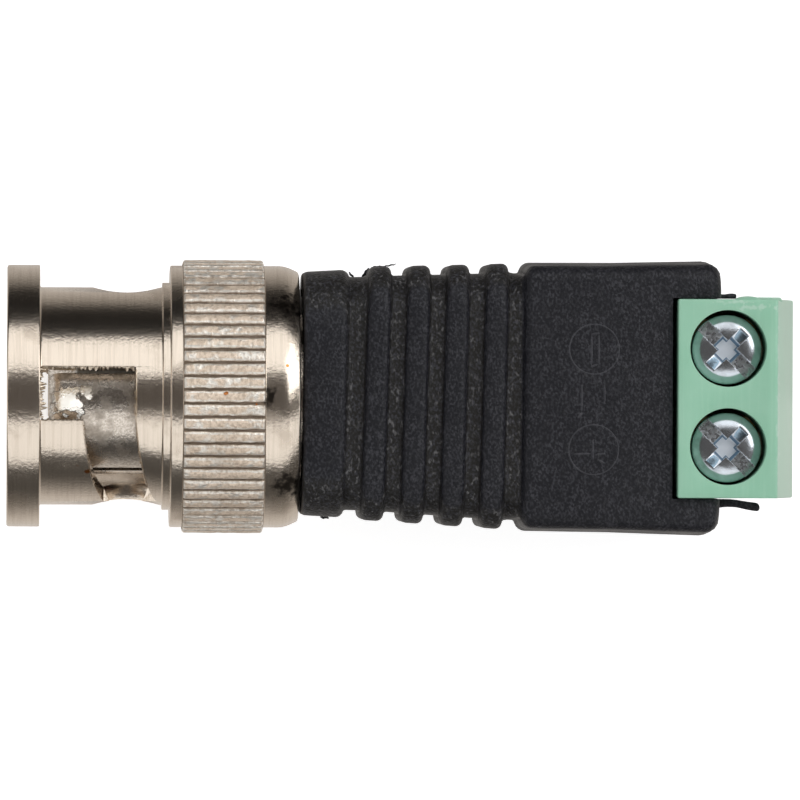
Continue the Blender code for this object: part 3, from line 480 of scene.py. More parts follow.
def nickelMaterial():
    look = nickelLook
    material, tree, surface = newMaterial("brightNickel", look["clean"], look["roughness"], 1.0)
    stain = addMarking(tree, 2.2, 0.52, 0.72, detail=6)["Mask"]
    rust = addMarking(tree, 0.55, 0.74, 0.80, detail=5)["Mask"]
    lathe = addMarking(tree, 0.11, 0.42, 0.68, stretch=(1, 0.03, 0.03))
    pits = addMarking(tree, 0.16, 0.3, 0.7, detail=4)["Height"]
    sand = addMarking(tree, 0.17, 0.42, 0.66, detail=6)
    peel = addMarking(tree, 0.6, 0.3, 0.7, detail=2)["Height"]
    radius = axisRadius(tree)
    knurled = band(tree, radius, *look["knurlRadii"])
    # painted highlight: the crests' edges are painted near white, and made less rough
    edges = band(tree, radius, *look["crestHighlightRadii"])
    layers = [
        (lathe["Mask"], look["lathe"], 0.4),
        (knurled, look["knurl"], 1),
        (times(tree, sand["Mask"], knurled), look["brown"], 0.4),
        # painted shade: the knurl's grooves are painted dark
        (band(tree, radius, *look["grooveRadii"]), look["groove"], 0.85),
        (times(tree, edges, spread(tree, sand["Mask"], 1.0, 0.4)), look["crestHighlight"], 1),
        (stain, look["brown"], 0.28),
        (rust, look["rust"], 0.6),
    ]
    layers += [(addSpot(tree, *patch, 0.8, 0.2), look["rust"], 1) for patch in look["rustSpots"]]
    # painted dark reflection on the step and the rear lip
    layers += [(addSpot(tree, *patch, 1.4, 0.35, 0.9), look["darkReflection"], 0.9) for patch in look["darkReflectionSpots"]]
    paint(tree, surface, look["clean"], layers)
    matte = mathNode(tree, "MULTIPLY_ADD", edges, -0.6, knurled)
    rough = spread(tree, matte, look["roughness"], look["knurlRoughness"])
    feed(tree, surface["Roughness"], mathNode(tree, "ADD", rough, spread(tree, stain, 0, 0.12)))
    feed(tree, surface["Metallic"], spread(tree, matte, 1.0, 0.55))
    grains = times(tree, sand["Height"], knurled)
    addBump(tree, surface, [(lathe["Height"], 0.002), (pits, 0.009), (grains, 0.085), (peel, 0.005)])
    return material


plugLook = {
    "clean": (0.76, 0.69, 0.61),
    "worn": (0.30, 0.245, 0.19),
    "glint": (1.0, 0.97, 0.90),
    "roughness": 0.22,
    # the dent that shows in the window, with a painted highlight on it: middle, reach, and how steeply it
    # tilts to the near side
    "dent": ((3.3, -0.22, 4.05), (0.98, 0.78, 1.2)),
    "glintLobe": ((4.05, 0.35, 4.05), (0.36, 0.32, 1.2)),
    "dentSlope": -0.42,
}


def plugMaterial():
    look = plugLook
    material, tree, surface = newMaterial("satinNickel", look["clean"], look["roughness"], 1.0)
    patch = addMarking(tree, 0.8, 0.42, 0.7, detail=4)["Mask"]
    grain = addMarking(tree, 0.12, 0.35, 0.65, detail=4)
    # The dent and lobe masks paint a near-white glint into the colour, a painted highlight; the dent's tilt
    # comes from the bump.
    dent = addSpot(tree, *look["dent"], 1.5, 0.55, 0.15)
    glintLobe = addSpot(tree, *look["glintLobe"], 0.9, 0.3, 0.15)
    bright = mathNode(tree, "MAXIMUM", dent, glintLobe)
    layers = [(patch, look["worn"], 0.5), (grain["Mask"], look["worn"], 0.42), (bright, look["glint"], 1)]
    paint(tree, surface, look["clean"], layers)
    feed(tree, surface["Roughness"], spread(tree, patch, look["roughness"], 0.4))
    side = times(tree, parts(tree, objectPlace(tree))["Y"], 1 / mm)
    addBump(tree, surface, [(times(tree, bright, side), look["dentSlope"]), (grain["Height"], 0.014)])
    return material


def plainMaterial(name, plain, patchy, roughness, grain=0.12, depth=0.004, metallic=1.0):
    material, tree, surface = newMaterial(name, plain, roughness, metallic)
    size, low = (0.9, 0.45) if metallic else (0.8, 0.35)
    patch = addMarking(tree, size, low, 0.75, detail=4)["Mask"]
    fine = addMarking(tree, grain, 0.3, 0.7)
    paint(tree, surface, plain, [(patch, patchy, 1)])
    if metallic:
        rough = spread(tree, patch, roughness, roughness + 0.15)
    else:
        rough = spread(tree, fine["Mask"], roughness - 0.05, roughness + 0.1)
    feed(tree, surface["Roughness"], rough)
    addBump(tree, surface, [(fine["Height"], depth)])
    return material


zincLook = {
    "clean": (0.68, 0.73, 0.79),
    "worn": (0.46, 0.49, 0.53),
    # floor, cross and wall colours are painted shade: darker on the slots' floors, the cross, the pit's walls
    # and a band of the head's side
    "floor": (0.42, 0.43, 0.44),
    "cross": (0.32, 0.44, 0.54),
    "wallShade": (0.16, 0.25, 0.34),
    "pitHighlight": (0.84, 0.89, 0.95),
    "roughness": 0.2,
    "levelFacing": 0.97,
    # heights above the axis of the slots' floors, the cross and the walls, which get painted shade, and of
    # the pit's floor, which gets a painted highlight
    "floorHeights": (5.6, 5.64, 5.75, 5.77),
    "crossHeights": (5.77, 5.78, 5.83, 5.86),
    "wallHeights": (5.26, 5.3, 5.66, 5.69),
    "pitHeights": (5.28, 5.24),
}


def zincMaterial():
    look = zincLook
    material, tree, surface = newMaterial("blueZinc", look["clean"], look["roughness"], 1.0)
    patch = addMarking(tree, 0.9, 0.45, 0.75, detail=4)["Mask"]
    mottle = addMarking(tree, 0.2, 0.35, 0.7, detail=5)["Mask"]
    fine = addMarking(tree, 0.3, 0.3, 0.7)["Height"]
    height = mathNode(tree, "SUBTRACT", parts(tree, objectPlace(tree))["Z"], axisHeight)
    facing = parts(tree, addNode(tree, "TexCoord").outputs["Normal"])["Z"]
    level = mathNode(tree, "GREATER_THAN", facing, look["levelFacing"])
    # painted shade on the up-facing floors of the slots and the cross and on the walls; the floors are also
    # mottled, rougher and bumpier
    shadedFloors = times(tree, times(tree, band(tree, height, *look["floorHeights"]), mottle), level)
    shadedCross = times(tree, band(tree, height, *look["crossHeights"]), level)
    shadedWalls = band(tree, height, *look["wallHeights"])
    # painted highlight: the pit's floor is painted pale, and made rougher and less metallic
    pitHighlight = band(tree, height, *look["pitHeights"])
    layers = [
        (patch, look["worn"], 1), (shadedFloors, look["floor"], 1), (shadedCross, look["cross"], 1),
        (shadedWalls, look["wallShade"], 1), (pitHighlight, look["pitHighlight"], 1),
    ]
    paint(tree, surface, look["clean"], layers)
    rough = mathNode(tree, "MULTIPLY_ADD", pitHighlight, 0.35, look["roughness"])
    feed(tree, surface["Roughness"], mathNode(tree, "MULTIPLY_ADD", shadedFloors, 0.25, rough))
    feed(tree, surface["Metallic"], spread(tree, pitHighlight, 1.0, 0.3))
    addBump(tree, surface, [(fine, 0.006), (shadedFloors, 0.008)])
    return material


mouldingLook = {
    "plain": (0.0060, 0.0063, 0.0094),
    "speck": (0.036, 0.036, 0.043),
    "spark": (0.13, 0.127, 0.13),
    # ridge colour: the pole marks are painted lighter than the block, a painted highlight
    "ridge": (0.052, 0.052, 0.060),
    "brown": (0.0105, 0.0095, 0.0082),
    "scuff": (0.060, 0.060, 0.062),
    "roughness": 0.40,
    "gloss": 0.30,
    "grainTurn": (0, 0, 0.8),
    "scuffTurn": (0, 0, 0.75),
    # Groove floors lie under a line that climbs with the ribs: its height at the first rib, and its rise.
    "grooveHeight": 5.5,
    "grooveRise": 0.041,
}


def grooveMask(tree):
    # 1 on the groove floors and down the sides, 0 on the ribs' crests and the block's top.
    look = mouldingLook
    place = parts(tree, objectPlace(tree))
    along = mathNode(tree, "SUBTRACT", place["X"], faceX + body["ribStart"] * mm)
    height = mathNode(tree, "SUBTRACT", place["Z"], axisHeight + look["grooveHeight"] * mm)
    above = mathNode(tree, "SUBTRACT", height, times(tree, along, look["grooveRise"]))
    low = remap(tree, above, 0.05 * mm, -0.1 * mm)
    ribs = remap(tree, place["X"], faceX + 26.7 * mm, faceX + 26.6 * mm)
    return times(tree, low, ribs)


def mouldingMaterial(name="blackMoulding", markHighlight=0.0):
    look = mouldingLook
    material, tree, surface = newMaterial(name, look["plain"], look["roughness"])
    surface["Specular IOR Level"].default_value = look["gloss"]
    turn = look["grainTurn"]
    speck = addMarking(tree, 0.12, 0.43, 0.66, detail=6, stretch=(1, 0.75, 1), turn=turn)["Mask"]
    spark = addMarking(tree, 0.18, 0.54, 0.7, detail=6, stretch=(1, 0.6, 1), turn=turn)["Mask"]
    patches = addMarking(tree, 0.55, 0.36, 0.62, detail=5, stretch=(1, 0.6, 1), turn=turn)["Mask"]
    scuffs = addMarking(tree, 0.3, 0.68, 0.76, 5, (1, 0.3, 1), look["scuffTurn"])["Mask"]
    cloud = addMarking(tree, 1.8, 0.35, 0.7, detail=5)["Mask"]
    grain = addMarking(tree, 0.15, 0.3, 0.7, detail=5)["Height"]
    wobble = addMarking(tree, 1.3, 0.3, 0.7)["Height"]
    grooves = grooveMask(tree)
    specks = times(tree, speck, spread(tree, patches, 0.5, 1.0))
    # For the pole marks the lighter ridge colour covers the whole mark: a painted highlight.
    if markHighlight:
        specks = spread(tree, specks, markHighlight, 1.0)
    share = mathNode(tree, "MULTIPLY_ADD", grooves, 0.85, 0.1)
    share = times(tree, share, spread(tree, cloud, 0.4, 1.0))
    layers = [
        (grooves, look["brown"], 1),
        (specks, look["ridge"] if markHighlight else look["speck"], 1),
        (times(tree, spark, share), look["spark"], 1),
        (scuffs, look["scuff"], 0.4),
    ]
    paint(tree, surface, look["plain"], layers)
    feed(tree, surface["Roughness"], spread(tree, cloud, look["roughness"], look["roughness"] + 0.14))
    addBump(tree, surface, [(wobble, 0.05), (grain, 0.06)])
    return material


greenLook = {
    "plain": (0.275, 0.53, 0.38),
    "pale": (0.36, 0.60, 0.46),
    "smear": (0.62, 0.72, 0.66),
    "front": (0.40, 0.59, 0.47),
    "roughness": 0.3,
    # where the sloped front begins, in the frame's own X; from there the front is painted lighter, as painted
    # light
    "litFrontStart": (19.33, 19.4),
    # middle, reach: whitened scratches by the far edge, and a pale strip along the front's top edge that is a
    # painted highlight
    "smearsAndEdgeHighlight": (
        ((38.8, 4.75, 6.77), (1.2, 0.2, 0.7)),
        ((37.6, 5.0, 6.77), (0.9, 0.1, 0.7)),
        ((39.9, 0, 5.5), (0.12, 5.2, 2.0)),
    ),
}


def greenMaterial():
    look = greenLook
    material, tree, surface = newMaterial("greenMoulding", look["plain"], look["roughness"])
    cloud = addMarking(tree, 2.5, 0.35, 0.75, detail=4)["Mask"]
    streaks = addMarking(tree, 0.22, 0.45, 0.75, detail=4, stretch=(1, 0.06, 0.06))["Mask"]
    smear = addMarking(tree, 0.9, 0.66, 0.80, detail=5, stretch=(0.5, 1, 1))["Mask"]
    grain = addMarking(tree, 0.2, 0.3, 0.7)["Height"]
    # painted light: the sloped front is painted a lighter green than the top
    front = band(tree, parts(tree, objectPlace(tree))["X"], *look["litFrontStart"])
    layers = [
        (cloud, look["pale"], 0.4), (streaks, look["pale"], 0.3), (front, look["front"], 1),
        (smear, look["smear"], 0.25),
    ]
    # the last patch, along the front's top edge, is a painted highlight
    layers += [(addSpot(tree, *patch, 2.2, 0.3, 0.9), look["smear"], 0.36) for patch in look["smearsAndEdgeHighlight"]]
    paint(tree, surface, look["plain"], layers)
    feed(tree, surface["Roughness"], spread(tree, smear, look["roughness"], 0.55))
    addBump(tree, surface, [(grain, 0.004)])
    return material


finishes = {
    # colour, colour of its patches, roughness, size and depth of its grain, metallic
    "burrNickel": ((0.70, 0.60, 0.48), (0.30, 0.24, 0.17), 0.32, 0.1, 0.03),
    "plainBrass": ((0.78, 0.60, 0.32), (0.55, 0.38, 0.18), 0.28),
    "goldFlash": ((0.86, 0.66, 0.31), (0.78, 0.56, 0.25), 0.2),
    "springSteel": ((0.55, 0.55, 0.56), (0.38, 0.37, 0.36), 0.3),
    "tinnedCopper": ((0.70, 0.70, 0.69), (0.58, 0.55, 0.50), 0.32),
    "dullSolder": ((0.66, 0.66, 0.67), (0.45, 0.45, 0.46), 0.34, 0.3, 0.02),
    "whiteDielectric": ((0.80, 0.80, 0.765), (0.72, 0.70, 0.65), 0.42, 0.15, 0.003, 0.0),
    "redRubber": ((0.42, 0.10, 0.06), (0.34, 0.08, 0.05), 0.6, 0.12, 0.006, 0.0),
    "redSleeve": ((0.48, 0.03, 0.02), (0.40, 0.025, 0.02), 0.4, 0.2, 0.003, 0.0),
    "blackSleeve": ((0.018, 0.018, 0.018), (0.03, 0.03, 0.03), 0.4, 0.2, 0.003, 0.0),
}
nickel = nickelMaterial()
satinNickel = plugMaterial()
moulding = mouldingMaterial()
# the moulding for the pole marks, painted lighter as a painted highlight
markHighlightMoulding = mouldingMaterial("markHighlightMoulding", 0.6)
green = greenMaterial()
zinc = zincMaterial()
basic = {name: plainMaterial(name, *look) for name, look in finishes.items()}
print("materials ready")


# Coupling nut

nut = {
    "steps": 496,
    "teeth": 62,
    "knurlStart": 9.17,
    "knurlEnd": 13.34,
    "knurlRadius": 7.13,
    "stepRadius": 6.83,
    "barrelRadius": 5.675,
    "boreRadius": 4.9,
    # Eight rings of corners make each tooth: their place in the pitch, and how deep they lie.
    "toothPlaces": (0, 0.22, 0.35, 0.44, 0.5, 0.56, 0.65, 0.78),
    "toothDepths": (0.0, 0.0, 0.05, 0.17, 0.19, 0.17, 0.05, 0.0),
    # The teeth waver along their length and have dents: how much, how many to a millimetre, and where in the
    # noise the dents are read.
    "toothWaviness": 0.06,
    "toothWaves": 4,
    "toothDents": 0.035,
    "dentsPerLength": 3,
    "dentSeed": 40,
    "slotHalfWidth": 1.37,
    "slotTurn": math.radians(-1.5),
    "keywayRadius": 5.6,
    "rimLength": 1.72,
    "windowEnd": 6.68,
    "rampStart": 5.27,
    "rampRise": 1.16,
    "rampSweep": math.radians(76),
    "rampPower": 1.8,
    "detentRadius": 1.75,
    "detentPosition": 6.22,
    "detentAngle": math.radians(91.5),
}


def nutCorners():
    step = nut["stepRadius"]
    knurl = nut["knurlRadius"]
    start = nut["knurlStart"]
    end = nut["knurlEnd"]
    barrel = nut["barrelRadius"]
    bore = nut["boreRadius"]
    rim = nut["rimLength"]
    return [
        # rear lip
        (4.5, 15.2, 0.08), (6.5, 15.2, 0.12), (step, 14.46, 0.3), (step, end + 0.05, 0.03),
        # knurled band
        (knurl - 0.08, end), (knurl, end - 0.08, 0.04),
        *[(knurl, end - 0.15 - 0.3 * i) for i in range(1, 13)],
        (knurl, start + 0.08, 0.04), (knurl - 0.08, start),
        # flange, barrel and rim
        (step, start - 0.05, 0.03), (step, 8.49, 0.09), (5.93, 8.49, 0.04), (5.93, 8.09, 0.05),
        (barrel, 8.09, 0.08), (barrel, rim, 0.1), (step, rim, 0.07), (step, 0, 0.13),
        # bore, and the recess for the washers
        (bore + 0.25, 0, 0.04), (bore, 0.25, 0.04), (bore, 11.95), (5.9, 11.95), (5.9, 14.45),
        (4.5, 14.45, 0.05),
    ]


def cutKnurl(item):
    # Slides the rings of corners along the pitch and sinks those in the grooves.
    stepAngle = math.tau / nut["steps"]
    teeth = nut["teeth"]
    perTooth = nut["steps"] // teeth
    lowest = nut["stepRadius"] + 0.1
    for vert in item.data.vertices:
        x, y, z = vert.co
        radius = math.hypot(x, y)
        if radius < lowest or not nut["knurlStart"] - 0.01 < z < nut["knurlEnd"] + 0.01:
            continue
        ring = round(math.atan2(y, x) / stepAngle)
        corner = ring % perTooth
        angle = ((ring - corner) / perTooth + nut["toothPlaces"][corner]) * math.tau / teeth
        radius = min(radius, nut["knurlRadius"] - nut["toothDepths"][corner])
        wave = noise.noise(Vector((x, y, z)) * nut["toothWaves"])
        dent = noise.noise(Vector((x, y, z + nut["dentSeed"])) * nut["dentsPerLength"])
        angle += wave * nut["toothWaviness"] * math.tau / teeth
        radius -= abs(dent) * nut["toothDents"]
        vert.co = (radius * math.cos(angle), radius * math.sin(angle), z)


def rampClimb(turn):
    return nut["rampRise"] * (max(turn, 0) / nut["rampSweep"]) ** nut["rampPower"]


def rampCutter(name, inner, outer):
    # A square tube swept round the barrel, climbing as it goes.
    shape = bmesh.new()
    front = nut["rampStart"] - nut["slotHalfWidth"]
    back = nut["rampStart"] + nut["slotHalfWidth"]
    roundedWire(shape, [(-inner, front), (-outer, front), (-outer, back), (-inner, back)], True)
    spin(shape, 28, nut["rampSweep"])
    bmesh.ops.holes_fill(shape, edges=shape.edges, sides=4)
    for vert in shape.verts:
        vert.co.z += rampClimb(math.atan2(-vert.co.y, -vert.co.x))
    return newSolid(name, shape)


def buildNut():
    item = turned("couplingNut", nutCorners(), nut["steps"])
    cutKnurl(item)
    inner = nut["boreRadius"] - 1
    outer = nut["barrelRadius"] + 1
    half = nut["slotHalfWidth"]
    keyway = nut["keywayRadius"]
    rim = nut["rimLength"]
    end = nut["windowEnd"]
    for side in range(2):
        angle = nut["slotTurn"] + side * math.pi
        entryCorners = [
            (-inner, -1), (-keyway, -1), (-keyway, rim), (-outer, rim), (-outer, end, 0.12), (-inner, end),
        ]
        entry = slab(f"entry{side}", entryCorners, -half, half)
        ramp = rampCutter(f"ramp{side}", inner, outer)
        for cutter in (entry, ramp):
            cutter.data.transform(Matrix.Rotation(angle, 4, "Z"))
        lie = Matrix.Translation((0, 0, nut["detentPosition"]))
        lie = lie @ Matrix.Rotation(angle + nut["detentAngle"], 4, "Z")
        lie = lie @ Matrix.Rotation(-math.pi / 2, 4, "Y")
        detent = drum(f"detent{side}", nut["detentRadius"], inner, outer, lie, 72)
        carve(item, entry, ramp, detent)

    def atSlot(edge):
        middle = edgeMiddle(edge)
        radius = math.hypot(middle.x, middle.y)
        return 1.75 < middle.z < 8.05 and radius > 4.7 or middle.z < 1.7 and 5.2 < radius < 5.65

    softenEdges(item, atSlot, 0.03, angle=40)
    return place(item, plugSpace, nickel, "nut", "nickel", "coupling_nut")


burrs = {
    # Ragged edges left by milling the slots, at the window's far side, near side, front and back: two ends as
    # (way round the barrel, distance), the way in, and how far the raggedness reaches.
    "straight": (
        (((-1.4, 1.74), (-1.4, 6.6)), (1, 0), 0.2),
        (((1.41, 1.74), (1.41, 3.95)), (-1, 0), 0.09),
        (((-1.3, 1.7), (1.3, 1.7)), (0, 1), 0.34),
        (((-1.25, 6.7), (1.2, 6.72)), (0, -1), 0.07),
    ),
    # the ramp's front and back edge: side, first turn, reach
    "curved": ((-1, 0.26, 0.1), (1, 0.1, 0.06)),
    "lastTurn": 1.0,
    "steps": 72,
    # how fine the raggedness is, and the number that gives each strip its own place in the noise
    "grain": 6,
    "seed": 90,
    "overlap": 0.03,
    "thickness": 0.05,
}


def rampEdge(side, first):
    # Points along one side of a ramp slot.
    points = []
    for i in range(9):
        turn = first + (burrs["lastTurn"] - first) * i / 8
        along = nut["rampStart"] + side * nut["slotHalfWidth"] + rampClimb(turn)
        points.append((turn * nut["barrelRadius"], along))
    return points


def burrStrip(points, inward, reach):
    shape = bmesh.new()
    bmesh.ops.create_grid(shape, x_segments=burrs["steps"], y_segments=2, size=1)
    radius = nut["barrelRadius"]
    lengths = len(points) - 1
    grain = burrs["grain"]
    for vert in shape.verts:
        share = (vert.co.x + 1) / 2 * lengths
        i = min(int(share), lengths - 1)
        around, along = Vector(points[i]).lerp(Vector(points[i + 1]), share - i)
        inner = (vert.co.y + 1) / 2
        seed = reach * burrs["seed"]
        ragged = abs(noise.noise(Vector((around * grain, along * grain, seed)))) * 2 + 0.1
        push = inner * reach * ragged - burrs["overlap"]
        turn = (around + inward[0] * push) / radius
        depth = radius + 0.012 - inner ** 2 * 0.1 - 0.02 * ragged * inner
        vert.co = (-depth * math.cos(turn), -depth * math.sin(turn), along + inward[1] * push)
    bmesh.ops.recalc_face_normals(shape, faces=shape.faces)
    bmesh.ops.solidify(shape, geom=shape.faces[:], thickness=burrs["thickness"])
    bmesh.ops.recalc_face_normals(shape, faces=shape.faces)
    return shape


def buildBurrs():
    strips = list(burrs["straight"])
    strips += [(rampEdge(side, first), (0, -side), reach) for side, first, reach in burrs["curved"]]
    whole = bmesh.new()
    for side in range(2):
        turn = Matrix.Rotation(nut["slotTurn"] + side * math.pi, 4, "Z")
        for strip in strips:
            burr = burrStrip(*strip)
            bmesh.ops.transform(burr, matrix=turn, verts=burr.verts)
            addTo(whole, burr)
    return place(newObject("slotBurrs", whole), plugSpace, basic["burrNickel"], "nut", "nickel")


buildNut()
buildBurrs()
print("nut ready")


# Plug body, insulator, pin and gasket

plug = {
    "steps": 144,
    "sleeveRadius": 4.05,
    "sleeveBore": 3.25,
    "tip": 2.16,
    "swell": 0.08,
    "fingerSlot": 0.46,
    "fingerSlotTurn": -20,
    "fingerSlotEnd": 7.3,
    "tailEnd": 18.3,
    "troughEnd": 21.3,
    "troughDepth": 1.2,
}


def buildPlugBody():
    sleeve = plug["sleeveRadius"]
    swollen = sleeve + plug["swell"]
    bore = plug["sleeveBore"]
    tip = plug["tip"]
    tail = plug["tailEnd"]
    end = plug["troughEnd"]
    corners = [
        (3.4, end), (4.2, end), (4.2, 17.3), (3.7, 17.3), (3.7, 16.5), (4.3, 16.5), (4.3, 13.0, 0.1),
        (5.8, 13.0, 0.1), (5.8, 12.0, 0.1), (sleeve, 12.0), (sleeve, tip + 2.2, 0.4),
        (swollen, tip + 1.1, 0.3), (swollen, tip + 0.5, 0.25), (swollen - 0.35, tip, 0.08),
        (bore + 0.15, tip, 0.05), (bore, tip + 0.3), (bore, 14.6), (2.4, 14.6), (2.4, tail), (3.4, tail),
    ]
    item = turned("plugBody", corners, plug["steps"])
    half = plug["fingerSlot"] / 2
    cutters = []
    for i in range(2):
        turn = Matrix.Rotation(math.radians(plug["fingerSlotTurn"] + 90 * i), 3, "Z")
        low = (-5.2, -half, tip - 1)
        cutters.append(block(f"fingerSlot{i}", low, (5.2, half, plug["fingerSlotEnd"]), turn=turn))
    cutters.append(block("troughCut", (-5.2, -5.2, tail), (plug["troughDepth"], 5.2, end + 1)))
    carve(item, *cutters)
    return place(item, plugSpace, satinNickel, "adapter_body", "nickel", "plug_body")


def buildInsulator():
    corners = [
        (1.15, 14.55), (3.2, 14.55), (3.2, 3.6, 0.15), (2.45, 3.6, 0.12), (2.45, 9.0, 0.2),
        (0.725, 9.0), (0.725, 10.2), (1.15, 10.2),
    ]
    item = turned("insulatorSleeve", corners, 96)
    return place(item, plugSpace, basic["whiteDielectric"], "adapter_body", "dielectric", "insulator")


def buildPin():
    corners = [
        (0, 14.9), (0.7, 15.2), (0.7, 17.3), (1.1, 17.3), (1.1, 10.25), (0.675, 10.25),
        (0.675, 3.1, 0.2), (0.36, 2.4, 0.2), (0, 2.4),
    ]
    item = turned("centerPin", corners, 64)
    return place(item, plugSpace, basic["goldFlash"], "adapter_body", "gold", "center_pin")


def buildGasket():
    corners = [(4.1, 11.95, 0.1), (4.82, 11.95, 0.15), (4.82, 11.05, 0.15), (4.1, 11.05, 0.15)]
    item = turned("gasketRing", corners, 128)
    return place(item, plugSpace, basic["redRubber"], "adapter_body", "gasket_rubber", "gasket")


# The wave spring lies between the plug body's flange and the thrust washer. Its travel is how far it flattens
# as the nut is drawn.
spring = {
    "steps": 96,
    "start": 13.05,
    "end": 13.95,
    "thickness": 0.25,
    "innerRadius": 4.4,
    "outerRadius": 5.7,
    "waves": 3,
    "travel": 0.55,
}


def buildSpring():
    start = spring["start"]
    back = start + spring["thickness"]
    inner, outer = spring["innerRadius"], spring["outerRadius"]
    corners = [(inner, start, 0.04), (outer, start, 0.04), (outer, back, 0.04), (inner, back, 0.04)]
    item = turned("waveSpring", corners, spring["steps"])
    lift = spring["end"] - back
    for vert in item.data.vertices:
        angle = math.atan2(vert.co.y, vert.co.x)
        vert.co.z += lift * (1 - math.cos(spring["waves"] * angle)) / 2
    place(item, plugSpace, basic["springSteel"], "adapter_body", "spring_steel", "wave_washer")
    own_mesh(item)


buildPlugBody()
buildSpring()
buildInsulator()
buildPin()
buildGasket()
print("plug ready")


# Moulded body

def bodyRun():
    # The moulding's half width along its length: band, ribs with grooves between them, and block.
    slope = body["wallSlope"]
    blockStart = body["blockStart"]
    blockEnd = body["blockEnd"]
    near, middle, far = body["blockHalfWidths"]

    def core(x):
        return between(x, body["coreHalfWidths"])

    run = [(15.35, 4.6), (15.36, 6.33, 0.2), (17.55, 6.45, 0.34), (17.55 + 2 * slope, core(17.8), 0.2)]
    for i in range(4):
        start = body["ribStart"] + i * body["ribPitch"]
        end = start + body["ribWidth"]
        half = body["ribHalfWidth"] + i * body["ribGrowth"]
        run += [
            (start - slope, core(start), 0.12), (start, half - 0.03, 0.3), (end - slope, half + 0.03, 0.3),
            (end + slope, core(end), 0.12),
        ]
    return run + [
        (blockStart - 2 * slope, core(26.4), 0.12), (blockStart + slope, near, 0.4),
        (body["blockMiddle"], middle), (blockEnd - 0.01, far, 0.75), (blockEnd, 5.6),
    ]


def ringPoint(turn, halfWidth, halfHeight, corner, draft):
    # Where a turn round the ring lands on a rounded rectangle. Most of it goes to the corners.
    quarter, share = divmod(turn * 4, 1)
    if quarter in (1, 3):
        share = 1 - share
    side = body["flatShare"]
    if share < side:
        y, z = halfWidth, (halfHeight - corner) * share / side
    elif share > 1 - side:
        y, z = (halfWidth - corner) * (1 - share) / side, halfHeight
    else:
        bend = (share - side) / (1 - 2 * side) * math.pi / 2
        y = halfWidth - corner + corner * math.cos(bend)
        z = halfHeight - corner + corner * math.sin(bend)
    y -= draft * z / halfHeight
    return (-y if quarter in (1, 2) else y, -z if quarter in (2, 3) else z)


def buildBodyShell():
    wire = bmesh.new()
    roundedWire(wire, bodyRun(), False)
    stations = sorted((vert.co.x, vert.co.z) for vert in wire.verts)
    wire.free()
    shape = bmesh.new()
    sides = body["ringSides"]
    bmesh.ops.create_cone(shape, cap_ends=True, segments=sides, radius1=1, radius2=1, depth=2)
    lengthwise = [e for e in shape.edges if abs(e.verts[0].co.z - e.verts[1].co.z) > 1]
    bmesh.ops.subdivide_edges(shape, edges=lengthwise, cuts=len(stations) - 2)
    for vert in shape.verts:
        x, half = stations[round((vert.co.z + 1) / 2 * (len(stations) - 1))]
        turn = round(math.atan2(vert.co.y, vert.co.x) / math.tau * sides) % sides / sides
        draft = between(x, ((26.3, 0), (26.5, body["blockDraft"])))
        height = half - between(x, body["flattening"])
        y, z = ringPoint(turn, half, height, between(x, body["corners"]), draft)
        shift = between(x, body["skew"]) * y + between(x, body["lean"]) * abs(z)
        vert.co = (x + shift, y + between(x, body["sideOffset"]), z)
    return newSolid("mouldedStrainRelief", shape)


def buildBody():
    item = buildBodyShell()
    carve(item, block("tongue", (35.4, -4.9, -6.05), (39.4, 4.9, -3.28), 0.4), operation="UNION")
    back = body["pocketBack"]
    pocketCorners = [(back, 8), (back, 2.05), (33.55, 0.55), (33.55, -3.28), (42, -3.28), (42, 8)]
    half = housing["halfWidth"] + 0.05
    pocket = slab("pocket", pocketCorners, -half, half)
    tailCorners = [
        (0, 18.4), (3.35, 18.4), (3.35, 21.35), (4.25, 21.35), (4.25, 17.25), (3.75, 17.25),
        (3.75, 16.55), (4.35, 16.55), (4.35, 14.3), (0, 14.3),
    ]
    tail = turned("tail", tailCorners, 96)
    carve(tail, block("trough", (-5.2, -5.2, 18.35), (1.15, 5.2, 23)))
    tail.data.transform(Matrix.Rotation(math.pi / 2, 4, "Y"))
    carve(item, pocket, tail)

    def atPocket(edge):
        middle = edgeMiddle(edge)
        return middle.x > 34.3 and middle.z > -3.5

    softenEdges(item, atPocket, 0.09, 3)
    return place(item, blockSpace, moulding, "adapter_body", "black_moulding", "moulded_body")


lips = {
    # Thin edges of the moulding that lie along the housing's sides: outline, and half the height.
    "far": (
        (
            (35.4, 5.6), (36.95, 5.48, 0.1), (37.35, 5.37, 0.2), (37.9, 5.46, 0.15),
            (38.12, 5.38, 0.1), (38.07, 5.17, 0.05), (35.4, 5.17),
        ),
        0.5,
    ),
    "near": (
        (
            (35.4, -5.17), (38.02, -5.19, 0.3), (38.7, -5.31, 0.3), (39.34, -5.38, 0.2),
            (39.37, -5.83, 0.2), (38.7, -5.74, 0.3), (37.95, -5.54, 0.5), (36.85, -5.68, 0.2), (35.4, -5.9),
        ),
        0.6,
    ),
}


def buildLips():
    lieFlat = Matrix(((1, 0, 0, 0), (0, 0, 1.012, 0), (0, 1, 0, 0), (0, 0, 0, 1)))
    for name, (outline, half) in lips.items():
        item = slab(f"edgeLip{name.capitalize()}", outline, -half, half)
        item.data.transform(lieFlat)
        item.data.flip_normals()  # swapping two axes turned the faces inward
        softenEdges(item, lambda e: e.verts[0].co.x > 35.6, 0.08, 3)
        place(item, blockSpace, moulding, "adapter_body", "black_moulding")


